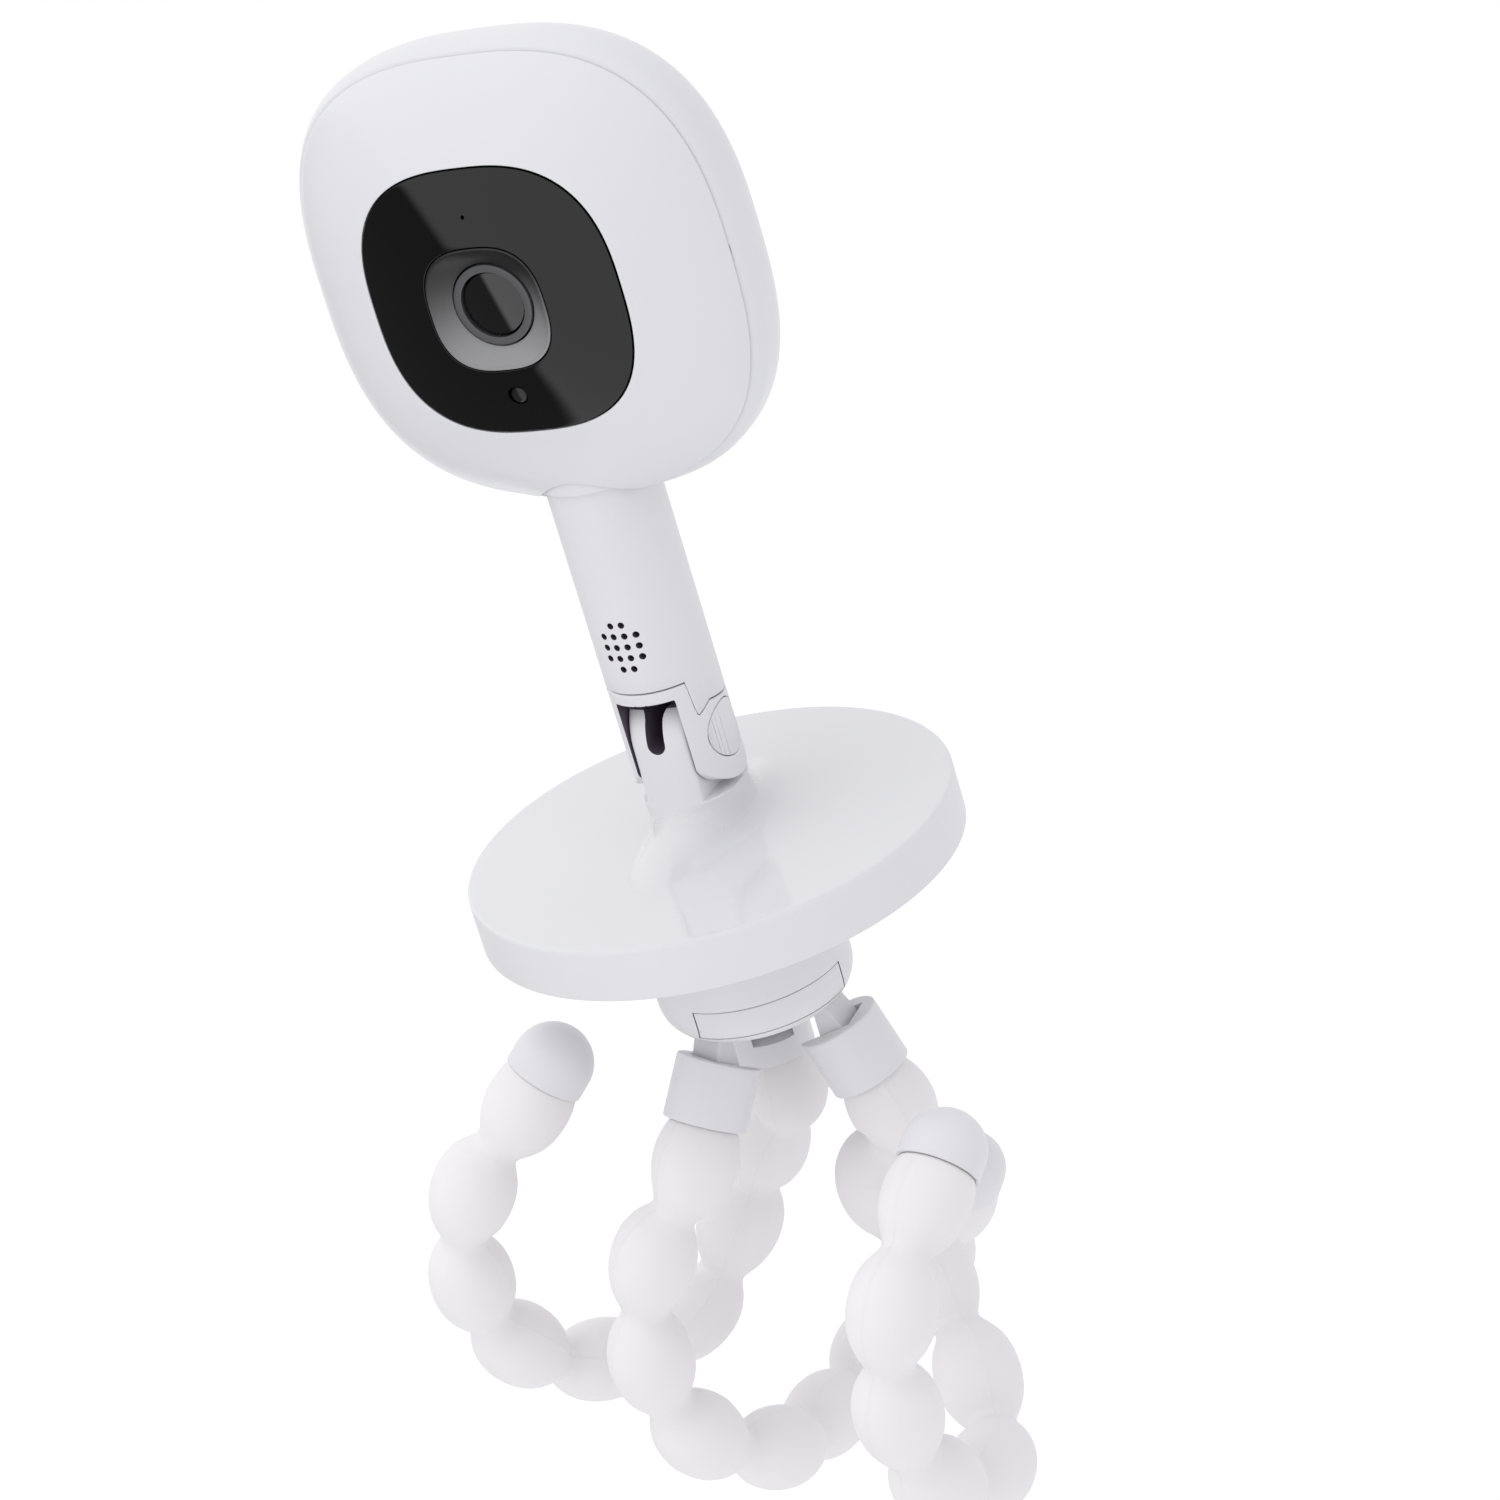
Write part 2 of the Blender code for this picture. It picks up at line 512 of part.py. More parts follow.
# --- legs ---------------------------------------------------------------------------------
def leg_points(azimuth, tilt, route):
    """The knuckle's axis, the way of the ferrule, and the centres of the beads and the cap."""
    turn, lean = math.radians(azimuth), math.radians(tilt)
    out = Vector((math.cos(turn), math.sin(turn), 0.0))
    pivot = out * LUG_RADIUS + Vector((0.0, 0.0, LUG_HEIGHT))
    way = out * math.sin(lean) - Vector((0.0, 0.0, math.cos(lean)))
    centres = [pivot + way * FIRST_BEAD] + [Vector(point) for point in route]
    return pivot, way, centres


def leg_curve(centres, way, place):
    """Point and direction on the leg's smooth curve; place 1 is the first bead's centre."""
    if place <= 1.0:
        return centres[0] + way * (place - 1.0) * BEAD_PITCH, way.copy()
    low = min(int(place) - 1, len(centres) - 2)
    share = place - 1 - low
    start, end = centres[low], centres[low + 1]
    length = (end - start).length

    def slope(i):
        if i == 0:
            return way.copy()
        before, after = centres[i - 1], centres[min(i + 1, len(centres) - 1)]
        return (after - before).normalized()

    a, b = slope(low) * length, slope(low + 1) * length
    s, s2, s3 = share, share ** 2, share ** 3
    point = (start * (2 * s3 - 3 * s2 + 1) + a * (s3 - 2 * s2 + s)
             + end * (3 * s2 - 2 * s3) + b * (s3 - s2))
    along = (start * (6 * s2 - 6 * s) + a * (3 * s2 - 4 * s + 1)
             + end * (6 * s - 6 * s2) + b * (3 * s2 - 2 * s))
    return point, along.normalized()


def bead_radius(place):
    """Radius of the sleeve: round beads with narrow necks half way between them."""
    lowest = math.sqrt(1.0 - (0.5 / BEAD_ENDS) ** 2)
    phase = min(abs(place - round(place)), 0.5)
    swell = math.sqrt(1.0 - (phase / BEAD_ENDS) ** 2)
    return NECK_R + (BEAD_R - NECK_R) * (swell - lowest) / (1.0 - lowest)


def sweep(samples, sides):
    """Rings of (point, direction, radius) with their first spoke carried along the curve."""
    rings = []
    spoke = Vector((1.0, 0.0, 0.0))
    for point, along, radius in samples:
        spoke = (spoke - along * spoke.dot(along)).normalized()
        across = along.cross(spoke)
        ring = []
        for i in range(sides):
            turn = 2.0 * math.pi * i / sides
            ring.append(point + (spoke * math.cos(turn) + across * math.sin(turn)) * radius)
        rings.append(ring)
    return rings


def segment_places(first, last):
    """Places of a sleeve segment's rings, between its two end rings."""
    places = []
    for bead in range(first, last + 1):
        places += [bead + phase for phase in (-0.34, -0.17, 0.0, 0.17, 0.34)]
        if bead < last:
            places.append(bead + 0.5)
    return places


def segment_end(centres, way, place, inward):
    """Outer ring and mouth of a segment at a neck, set back along the sleeve."""
    point, along = leg_curve(centres, way, place)
    return ((point + along * inward * (NECK_RELIEF + NECK_LIP), along, NECK_R),
            (point + along * inward * NECK_RELIEF, along, BORE_R))


def plain_end(centres, way, bead, distance):
    """Outer ring and mouth of a segment that is cut square at a distance from a bead's centre."""
    point, along = leg_curve(centres, way, float(bead))
    place = point + along * distance
    return (place, along, bead_radius(distance / BEAD_PITCH)), (place, along, BORE_R)


def build_segment(name, centres, way, first, last, frame):
    """A hollow sleeve segment and the core wire in it."""
    places = segment_places(first, last)
    if first == SEGMENTS[0][0]:
        head, mouth = plain_end(centres, way, first, FERRULE_BELOW + GAP - FIRST_BEAD)
        places = places[1:]
    else:
        head, mouth = segment_end(centres, way, first - 0.5, 1.0)
    if last == SEGMENTS[-1][1]:
        foot, tail = plain_end(centres, way, last, CAP_START - GAP)
        places = places[:-1]
    else:
        foot, tail = segment_end(centres, way, last + 0.5, -1.0)
    skin = [(*leg_curve(centres, way, place), bead_radius(place)) for place in places]
    inside = [(*leg_curve(centres, way, place), BORE_R) for place in places[1:-1:2]]
    bore = [mouth, *inside, tail]
    rings = sweep([head, *skin, foot, *bore[::-1]], SIDES_COARSE)
    new_object(f"{name}_segment", loft(rings, True), "white_silicone", frame, 60.0)
    wire = [(point, along, CORE_R) for point, along, _ in bore]
    wire[0] = (mouth[0] + mouth[1] * CORE_SHORT, mouth[1], CORE_R)
    wire[-1] = (tail[0] - tail[1] * CORE_SHORT, tail[1], CORE_R)
    new_object(f"{name}_core", loft(sweep(wire, 6)), "steel", frame, 60.0)


def build_leg(number, base_frame):
    azimuth, tilt, route = LEGS[number]
    pivot, way, centres = leg_points(azimuth, tilt, route)
    knuckle = empty(f"leg_{number}_knuckle", pivot, base_frame, (0.0, 0.0, azimuth - 90.0))
    swing = empty(f"leg_{number}_swing", (0.0, 0.0, 0.0), knuckle, (tilt, 0.0, 0.0))
    rim = [(FERRULE_R - 0.5, FERRULE_ABOVE), (FERRULE_R, FERRULE_ABOVE - 0.5),
           (FERRULE_R, 0.5 - FERRULE_BELOW), (FERRULE_R - 0.5, -FERRULE_BELOW)]
    ferrule = new_object(f"leg_{number}_ferrule", turned(rim, 18), "white_satin", swing)
    slot = block((2 * (LUG_HALF_WIDTH + GAP), 20.0, 20.0), (0.0, 5.2 - 10.0, 10.0 - 5.4))
    cut(ferrule, slot, "slot")
    cut(ferrule, rod(PIN_R + GAP, -20.0, 20.0, "X", sides=12), "bore")
    new_object(f"leg_{number}_pin", rod(PIN_R - GAP + 0.05, -8.2, 8.2, "X", sides=10), "steel", knuckle)
    for index, (first, last) in enumerate(SEGMENTS, 1):
        build_segment(f"leg_{number}_{index}", centres, way, first, last, base_frame)
    point, along = leg_curve(centres, way, float(SEGMENTS[-1][1]))
    dome = [(BORE_R + 1.0, 0.0), (CAP_R - 0.3, 0.0), (CAP_R, 0.4), (CAP_R, CAP_LENGTH - CAP_R)]
    dome += [(CAP_R * math.cos(math.radians(turn)),
              CAP_LENGTH - CAP_R + CAP_R * math.sin(math.radians(turn))) for turn in (25, 50, 75)]
    samples = [(point + along * (CAP_START + out), along, radius) for radius, out in dome]
    new_object(f"leg_{number}_end_cap", loft(sweep(samples, 14)), "white_satin", base_frame, 50.0)


def build():
    clear_scene()
    hub_frame = empty("hub_frame", DISC_TOP)
    head_frame = empty("head_frame", DISC_TOP, rotation=(0.0, 0.0, HEAD_YAW))
    lens_axis = empty("lens_axis", (0.0, 0.0, HEAD_HEIGHT), head_frame, (90.0, 0.0, 0.0))
    build_shells(lens_axis)
    build_window(lens_axis)
    build_optics(lens_axis)
    build_boards(lens_axis)
    build_stem(head_frame)
    build_fork(head_frame)
    build_base(head_frame)
    build_hub(hub_frame)
    for number in LEGS:
        build_leg(number, hub_frame)


build()
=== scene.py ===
"""Looks of a baby monitor camera on its CAD frame: shells, optics, stem, base, hub and legs.

Sizes are millimetres from the centre of the disc's top face, as in the CAD design, and MM turns
them into metres. Every piece except the legs' sleeves rides on the CAD body that it belongs to.
"""
import json
import math

import bmesh
import bpy
from mathutils import Matrix, Vector


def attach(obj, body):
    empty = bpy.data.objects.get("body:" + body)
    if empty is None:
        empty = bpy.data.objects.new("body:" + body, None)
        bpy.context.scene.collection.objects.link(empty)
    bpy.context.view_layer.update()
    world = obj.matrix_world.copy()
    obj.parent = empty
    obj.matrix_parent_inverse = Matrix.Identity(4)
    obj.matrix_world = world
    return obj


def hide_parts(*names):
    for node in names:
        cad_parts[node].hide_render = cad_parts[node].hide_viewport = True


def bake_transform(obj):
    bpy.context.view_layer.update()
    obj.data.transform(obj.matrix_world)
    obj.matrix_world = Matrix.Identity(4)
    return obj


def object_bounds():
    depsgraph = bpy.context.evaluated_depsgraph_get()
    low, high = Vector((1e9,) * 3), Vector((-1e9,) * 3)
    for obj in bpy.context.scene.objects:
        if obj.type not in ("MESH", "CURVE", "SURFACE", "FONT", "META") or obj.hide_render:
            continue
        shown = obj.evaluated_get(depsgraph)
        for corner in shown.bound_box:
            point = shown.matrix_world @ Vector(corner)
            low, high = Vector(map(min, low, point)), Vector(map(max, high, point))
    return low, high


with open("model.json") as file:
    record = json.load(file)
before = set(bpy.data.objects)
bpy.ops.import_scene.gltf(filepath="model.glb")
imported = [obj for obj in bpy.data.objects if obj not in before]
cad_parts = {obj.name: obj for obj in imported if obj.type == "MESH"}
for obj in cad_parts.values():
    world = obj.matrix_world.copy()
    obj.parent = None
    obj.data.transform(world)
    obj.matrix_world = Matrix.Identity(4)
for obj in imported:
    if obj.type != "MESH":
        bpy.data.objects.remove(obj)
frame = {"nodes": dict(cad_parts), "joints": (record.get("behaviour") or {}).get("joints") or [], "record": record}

CAD_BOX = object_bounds()
MM = 0.001
GAP = 0.25  # clearance that shows between touching pieces
THROUGH = 20.0  # half length of a cutter that passes right through

# --- sizes of the design ------------------------------------------------------------------
HEAD_HEIGHT, TILT_HEIGHT = 133.6, 23.7
HEAD_HALF, HEAD_POWER, WIDEST = 51.2, 2.72, 1.6
FRONT_DEPTH, FRONT_POWER = 23.2, 1.7
REAR_DEPTH, REAR_POWER = 18.7, 3.27
SEAM, HEAD_WALL = 6.3, 2.0
WINDOW_HALF, WINDOW_THICK, SURROUND_HALF = 29.3, 1.6, 13.5
BARREL_R, BARREL_BORE, BARREL_FRONT, BARREL_BACK = 8.93, 7.5, 20.9, 5.5
LENS_CURVE, LENS_SET_BACK, LENS_BACK = 40.0, 0.3, 16.0  # the front lens: crown radius, set-back, rear face
PORT_OFFSET, PORT_R, PORT_DEPTH, MICROPHONE_R = 20.0, 2.15, 0.25, 0.45
WINDOW_DRILL = (10.0, 30.0)
STEM_R, STEM_WALL, STEM_TOP = 12.37, 2.0, 93.0
COLLAR_R, COLLAR_LOW, COLLAR_HIGH = 13.5, 86.1, 92.4
NECK_BORE, NECK_CLEARANCE = (-60.0, -30.0), 0.4
# The shell is drawn down in front of the neck: how far and how wide, where that starts and is full
# below the head's centre, and its place and spread along the lens axis.
NECK_DROP, NECK_SPAN = 4.4, 14.0
NECK_HIGH, NECK_FULL = 32.0, 40.0
NECK_DEPTH, NECK_REACH = 12.0, 7.0
# Height of the stem tube's lower edge at angles from the front.
TUBE_FOOT = ((0.0, 38.6), (51.0, 38.6), (54.5, 30.3), (57.0, 30.3), (73.0, 32.3), (100.0, 31.3),
             (180.0, 31.0))
INLET_SIZE, INLET_HEIGHT = (9.4, 8.0, 3.8), 44.0
GRILLE_HEIGHT, GRILLE_PITCH, GRILLE_HOLE_R = 49.9, 2.6, 0.75
GRILLE_ROWS = (2, 4, 4, 4, 2)
GRILLE_DRILL = (-16.0, -8.0)
GRILLE_LOW, GRILLE_HIGH = 42.0, 58.0  # rings of the tube below and above its sound holes
BRIDGE_LOW, SPIGOT_TOP = 35.5, 41.0
SLOT_HALF, TONGUE_HALF, TONGUE_R, EAR_R, AXLE_R = 7.2, 6.85, 11.2, 11.4, 2.5
PRONG_SLOT_HALF, PRONG_SLOT_LOW, PRONG_SLOT_BACK = 2.15, 23.3, 3.5
PRONG_MOUTH_HALF, PRONG_TOP, PRONG_SLOT_FRONT = 4.6, 33.0, -16.0
EDGE_EASE = 0.3  # how softly the pillar's flat sides meet its round front
SIDE_CAP_R, SIDE_CAP_IN = 6.3, 10.3
DISC_R, DISC_HEIGHT, DISC_WALL, DISC_EDGE, STUD_R = 55.0, 12.56, 2.2, 1.3, 8.0
FLARE_TOP = 11.7  # height to which the pillar's foot shares the disc's gloss
HUB_R, HUB_TOP, HUB_LOW = 22.3, -13.2, -45.0
LATCH_AZIMUTH, LATCH_HALF_WIDTH, LATCH_HIGH, LATCH_LOW = -26.0, 16.8, -35.0, -42.0
LATCH_IN, LATCH_TRAVEL = 10.0, 1.2
LUG_RADIUS, LUG_HEIGHT, LUG_HALF_WIDTH, LUG_R = 17.4, -54.5, 4.6, 4.0
PIN_R, PLATE_R = 1.6, 16.0
FERRULE_R, FERRULE_ABOVE, FERRULE_BELOW, FERRULE_BORE_HALF = 9.5, 3.5, 11.0, 8.6
FERRULE_SLOT_BACK, FERRULE_SLOT_LOW, FERRULE_SLOT_SIZE = 5.2, -5.4, 20.0
BEAD_R, NECK_R, BEAD_PITCH, FIRST_BEAD = 9.75, 5.35, 25.0, 19.5
BEAD_LENGTH, BEAD_MELT = 13.0, 0.9  # half length of a bead's ellipse, and how softly it meets the neck
NECK_BEND = 1.15  # how much of a bend the necks take, 1 for an even curve
CAP_R, CAP_START, CAP_LENGTH = 9.3, 6.5, 13.6
HINGES = (2.5, 4.5, 6.5)  # places of the bends, counted in beads
SKIN_JOINS = (3.0, 5.0)  # places where a leg's three skins meet, between the bends
BLEND_HALF = 4.0  # half length of a skin's bend; it only scales a direction that nothing uses
LAST_BEAD = 9
RINGS_PER_BEAD = 44
SEAM_RISE, SEAM_WIDTH = 0.1, 1.2  # mould line: height in millimetres and half width in degrees
SEAM_TURNS = (0.0, 180.0)
SEAM_TWIST = {1: 90.0, 2: 60.0, 3: 20.0}  # where the mould line lies round each leg
LEGS = {
    1: (-90.0, 36.0, [(-7, -43, -90), (-11, -49, -114), (-11, -43, -138), (-12, -24, -154),
                      (-22, -3, -161), (-30, 20, -159), (-30, 42, -148), (-16, 45, -127),
                      (-8, 46, -115)]),
    2: (150.0, 0.0, [(-29, 8, -94), (-40, 1, -115), (-48, -14, -134), (-55, -37, -135),
                     (-55, -56, -119), (-52, -64, -96), (-45, -60, -72), (-35, -45, -55),
                     (-33, -35, -46)]),
    3: (30.0, 18.0, [(12, 8, -93), (26, 5, -113), (45, -3, -129), (63, -18, -138),
                     (72, -38, -126), (76, -45, -103), (79, -41, -79), (75, -22, -63),
                     (72, -10, -58)]),
}
FINE, MEDIUM, CUTTER, STEM_SIDES = 160, 72, 96, 240  # sides of round pieces

# --- stage: camera, floor and light, in degrees, millimetres and watts ----------------------
VIEW_AZIMUTH, VIEW_ELEVATION, VIEW_ROLL = 57.48, 23.52, -16.8
VIEW_DISTANCE, VIEW_SHIFT, FOCAL_LENGTH = 1130.8, (9.06, 16.20), 124.3
FLOOR_HALF, FLOOR_DROP = 8000.0, 90.0
KEY_BACK, KEY_UP, KEY_LEFT, KEY_SIZE, KEY_POWER = 900.0, 1300.0, 900.0, 1200.0, 5.0
SKY_LEFT, SKY_RIGHT = (1.14, 1.14, 1.15), (0.8, 0.8, 0.83)
CARD_FACING, CARD_EDGE, CARD_SOFT = (0.708, 0.644, 0.29), -0.739, 0.025
CARD_DARK, CARD_BRIGHT = (0.13, 0.13, 0.13), (1.0, 1.0, 1.0)

# --- places, from the frame's joints -------------------------------------------------------
JOINTS = {joint["name"]: joint for joint in frame["joints"]}
TILT_AXIS = Vector(JOINTS["head_tilt"]["axis"])
DISC_TOP = Vector(JOINTS["head_tilt"]["pos_m"]) - Vector((0.0, 0.0, TILT_HEIGHT * MM))
HUB = Matrix.Translation(DISC_TOP)
HEAD = HUB @ Matrix.Rotation(math.atan2(TILT_AXIS.y, TILT_AXIS.x), 4, "Z")
LENS = HEAD @ Matrix.Translation((0.0, 0.0, HEAD_HEIGHT * MM)) @ Matrix.Rotation(math.pi / 2, 4, "X")
LATCH = HUB @ Matrix.Rotation(math.radians(LATCH_AZIMUTH), 4, "Z")


# --- looks --------------------------------------------------------------------------------
MOTTLE_SCALE, UNEVEN_SCALE = 30.0, 140.0  # how fine the colour and the roughness vary
# Painted shade on the lens dish: reach of the fade below and above its middle, and its dark colour.
SHADE_FADE_BELOW, SHADE_FADE_ABOVE, PAINTED_SHADE_DARK = 14.0, 9.0, (0.012, 0.012, 0.0125)


def look(name, colour, roughness, tint=0.02, swing=0.04, grain=(900.0, 0.02), **sockets):
    """A procedural material: mottled colour, uneven roughness and a fine surface grain."""
    made = bpy.data.materials.new(name)
    made.use_nodes = True
    nodes, links = made.node_tree.nodes, made.node_tree.links
    shader = nodes["Principled BSDF"]
    place = nodes.new("ShaderNodeTexCoord")

    def noise(scale, detail):
        node = nodes.new("ShaderNodeTexNoise")
        node.inputs["Scale"].default_value = scale
        node.inputs["Detail"].default_value = detail
        links.new(place.outputs["Object"], node.inputs["Vector"])
        return node.outputs["Fac"]

    mix = nodes.new("ShaderNodeMix")
    mix.data_type = "RGBA"
    mix.inputs["A"].default_value = (*[channel * (1.0 - tint) for channel in colour], 1.0)
    mix.inputs["B"].default_value = (*[min(1.0, channel * (1.0 + tint)) for channel in colour], 1.0)
    links.new(noise(MOTTLE_SCALE, 4.0), mix.inputs["Factor"])
    links.new(mix.outputs["Result"], shader.inputs["Base Color"])
    band = nodes.new("ShaderNodeMapRange")
    band.inputs["To Min"].default_value = max(0.0, roughness - swing)
    band.inputs["To Max"].default_value = min(1.0, roughness + swing)
    links.new(noise(UNEVEN_SCALE, 5.0), band.inputs["Value"])
    links.new(band.outputs["Result"], shader.inputs["Roughness"])
    bump = nodes.new("ShaderNodeBump")
    bump.inputs["Strength"].default_value = 1.0
    bump.inputs["Distance"].default_value = grain[1] * MM
    links.new(noise(grain[0], 3.0), bump.inputs["Height"])
    links.new(bump.outputs["Normal"], shader.inputs["Normal"])
    for socket, value in sockets.items():
        shader.inputs[socket.replace("_", " ")].default_value = value
    return made


def shade_graded(name, source, middle):
    """A copy of a look with painted shade: its colour fades from light below to dark above a height."""
    made = source.copy()
    made.name = name
    nodes, links = made.node_tree.nodes, made.node_tree.links
    shader = nodes["Principled BSDF"]
    place = nodes.new("ShaderNodeTexCoord")
    split = nodes.new("ShaderNodeSeparateXYZ")
    links.new(place.outputs["Object"], split.inputs["Vector"])
    fade = nodes.new("ShaderNodeMapRange")
    fade.interpolation_type = "SMOOTHSTEP"
    fade.inputs["From Min"].default_value = middle - SHADE_FADE_BELOW * MM
    fade.inputs["From Max"].default_value = middle + SHADE_FADE_ABOVE * MM
    links.new(split.outputs["Z"], fade.inputs["Value"])
    mix = nodes.new("ShaderNodeMix")
    mix.data_type = "RGBA"
    links.new(fade.outputs["Result"], mix.inputs["Factor"])
    links.new(shader.inputs["Base Color"].links[0].from_socket, mix.inputs["A"])
    mix.inputs["B"].default_value = (*PAINTED_SHADE_DARK, 1.0)
    links.new(mix.outputs["Result"], shader.inputs["Base Color"])
    return made


LOOKS = {
    "shell": look("shell_white_gloss", (0.70, 0.70, 0.72), 0.3, 0.008, 0.03, (500.0, 0.006)),
    "disc": look("disc_white_gloss", (0.70, 0.70, 0.715), 0.1, 0.008, 0.03, (160.0, 0.012)),
    "satin": look("satin_white", (0.715, 0.71, 0.73), 0.42, 0.01, 0.05, (2600.0, 0.012)),
    "silicone": look("silicone_white", (0.79, 0.775, 0.78), 0.62, 0.015, 0.06, (2000.0, 0.012),
                     Sheen_Weight=0.1),
    "window": look("window_black", (0.003, 0.003, 0.0032), 0.03, 0.05, 0.01, (120.0, 0.001)),
    "surround": look("surround_grey", (0.3, 0.3, 0.305), 0.34, 0.04, 0.05, (2200.0, 0.01)),
    "ring": look("lens_ring_grey", (0.11, 0.11, 0.115), 0.4, 0.04, 0.05, (3000.0, 0.01),
                 Metallic=0.35),
    "lens": look("lens_coated", (0.0012, 0.0012, 0.0015), 0.015, 0.1, 0.005, (90.0, 0.0005),
                 Coat_Weight=1.0, Coat_Roughness=0.01),
    "port": look("sensor_black", (0.012, 0.012, 0.013), 0.12, 0.1, 0.03, (600.0, 0.003)),
    # Painted shade: a dark look that stands for the shade inside the tube, the slots and round the axle.
    "painted_shade": look("painted_shade_dark", (0.09, 0.075, 0.1), 0.55, 0.15, 0.05, (700.0, 0.01)),
    "board": look("circuit_green", (0.02, 0.12, 0.06), 0.45, 0.35, 0.12, (1500.0, 0.03)),
    "steel": look("steel", (0.55, 0.55, 0.56), 0.32, 0.06, 0.08, (1400.0, 0.02), Metallic=1.0),
    "rubber": look("rubber_pale", (0.62, 0.62, 0.63), 0.8, 0.04, 0.06, (1700.0, 0.03)),
}


# --- mesh tools -----------------------------------------------------------------------------
def spread(first, last, steps):
    """Numbers from first to last in equal steps, with both ends."""
    return [first + (last - first) * i / steps for i in range(steps + 1)]


def arc(centre, radius, start, end, steps):
    """Points of (across, up) on an arc between two angles in degrees."""
    return [(centre[0] + radius * math.cos(math.radians(turn)),
             centre[1] + radius * math.sin(math.radians(turn))) for turn in spread(start, end, steps)]


def rounded(points, steps=4):
    """A closed outline whose corners of (across, up, radius) are turned into small curves."""
    outline = []
    for i, (x, y, radius) in enumerate(points):
        corner = Vector((x, y))
        if not radius:
            outline.append(tuple(corner))
            continue
        back = Vector(points[i - 1][:2]) - corner
        ahead = Vector(points[(i + 1) % len(points)][:2]) - corner
        reach = min(radius, 0.45 * back.length, 0.45 * ahead.length)
        start = corner + back.normalized() * reach
        end = corner + ahead.normalized() * reach
        for share in spread(0.0, 1.0, steps):
            point = start.lerp(corner, share).lerp(corner.lerp(end, share), share)
            outline.append(tuple(point))
    return outline


def smooth_rows(rows, steps):
    """Rows of numbers joined by a smooth curve through each of them."""
    path = []
    for i in range(len(rows) - 1):
        a, b, c, d = (rows[max(0, min(len(rows) - 1, i + k))] for k in (-1, 0, 1, 2))
        for share in spread(0.0, 1.0, steps)[:-1]:
            s2, s3 = share ** 2, share ** 3
            path.append(tuple(0.5 * (2 * q + (r - p) * share + (2 * p - 5 * q + 4 * r - t) * s2
                                     + (3 * q - p - 3 * r + t) * s3) for p, q, r, t in zip(a, b, c, d)))
    path.append(tuple(rows[-1]))
    return path


def loft(rings, closed=False):
    """A bmesh through rings of equal point counts: capped at both ends, or closed in a loop."""
    build = bmesh.new()
    rows = [[build.verts.new(point) for point in ring] for ring in rings]
    pairs = list(zip(rows, rows[1:]))
    if closed:
        pairs.append((rows[-1], rows[0]))
    for low, high in pairs:
        for i in range(len(low)):
            j = (i + 1) % len(low)
            build.faces.new((low[i], low[j], high[j], high[i]))
    if not closed:
        build.faces.new(rows[0])
        build.faces.new(rows[-1])
    bmesh.ops.recalc_face_normals(build, faces=build.faces)
    return build


def squircle(half_x, half_y, level, power=2.0, sides=FINE):
    """A superellipse ring at a height; power 2 gives a circle or an ellipse."""
    ring = []
    for i in range(sides):
        angle = 2.0 * math.pi * i / sides
        c, s = math.cos(angle), math.sin(angle)
        reach = (abs(c) ** power + abs(s) ** power) ** (-1.0 / power)
        ring.append(Vector((half_x * reach * c, half_y * reach * s, level)))
    return ring


def turned(profile, sides=MEDIUM, closed=True):
    """A bmesh turned about Z from (radius, height) points."""
    return loft([squircle(r, r, z, sides=sides) for r, z in profile], closed)


def pillow(profile, power, sides=FINE):
    """A closed bmesh of squircle rings from (half width, height) points."""
    return loft([squircle(half, half, z, power, sides) for half, z in profile], True)


def prism(outline, low, high):
    """A bmesh that carries an outline of (across, up) along Y between two places on it."""
    return loft([[Vector((x, y, z)) for x, z in outline] for y in (low, high)])


def block(size, centre):
    """A box of a size round a centre."""
    build = bmesh.new()
    bmesh.ops.create_cube(build, size=1.0)
    bmesh.ops.scale(build, vec=size, verts=build.verts)
    bmesh.ops.translate(build, vec=centre, verts=build.verts)
    return build


def rod(radius, low, high, axis="Z", centre=(0.0, 0.0, 0.0), sides=48):
    """A bmesh cylinder along an axis between two places on it."""
    build = turned([(radius, low), (radius, high)], sides, False)
    turns = {"X": Matrix.Rotation(math.pi / 2, 3, "Y"), "Y": Matrix.Rotation(-math.pi / 2, 3, "X"),
             "Z": Matrix.Identity(3)}
    bmesh.ops.rotate(build, cent=(0, 0, 0), matrix=turns[axis], verts=build.verts)
    bmesh.ops.translate(build, vec=centre, verts=build.verts)
    return build


def swung(build, azimuth):
    """Turns a bmesh about Z by an angle in degrees."""
    turn = Matrix.Rotation(math.radians(azimuth), 3, "Z")
    bmesh.ops.rotate(build, cent=(0, 0, 0), matrix=turn, verts=build.verts)
    return build


def holder(build):
    """A working object, deleted again by carved()."""
    mesh = bpy.data.meshes.new("work")
    bmesh.ops.recalc_face_normals(build, faces=build.faces)
    build.to_mesh(mesh)
    build.free()
    made = bpy.data.objects.new("work", mesh)
    bpy.context.scene.collection.objects.link(made)
    return made


def carved(build, cuts=(), joins=(), common=(), voxel=0.0, soften=0, bevel=0.0):
    """A mesh from a bmesh after its Booleans, with its edges softened by a fine remesh or a bevel."""
    target = holder(build)
    workers = [target]
    for operation, others in (("UNION", joins), ("INTERSECT", common), ("DIFFERENCE", cuts)):
        for other in others:
            workers.append(holder(other))
            step = target.modifiers.new(operation, "BOOLEAN")
            step.operation = operation
            step.object = workers[-1]
            step.solver = "EXACT"
    if bevel:
        step = target.modifiers.new("bevel", "BEVEL")
        step.width = bevel
        step.segments = 2
        step.limit_method = "ANGLE"
        step.angle_limit = math.radians(40.0)
        step.use_clamp_overlap = False
    if voxel:
        step = target.modifiers.new("remesh", "REMESH")
        step.mode = "VOXEL"
        step.voxel_size = voxel
    if soften:
        step = target.modifiers.new("soften", "SMOOTH")
        step.factor = 0.5
        step.iterations = soften
    graph = bpy.context.evaluated_depsgraph_get()
    mesh = bpy.data.meshes.new_from_object(target.evaluated_get(graph))
    for worker in workers:
        bpy.data.objects.remove(worker)
    return mesh


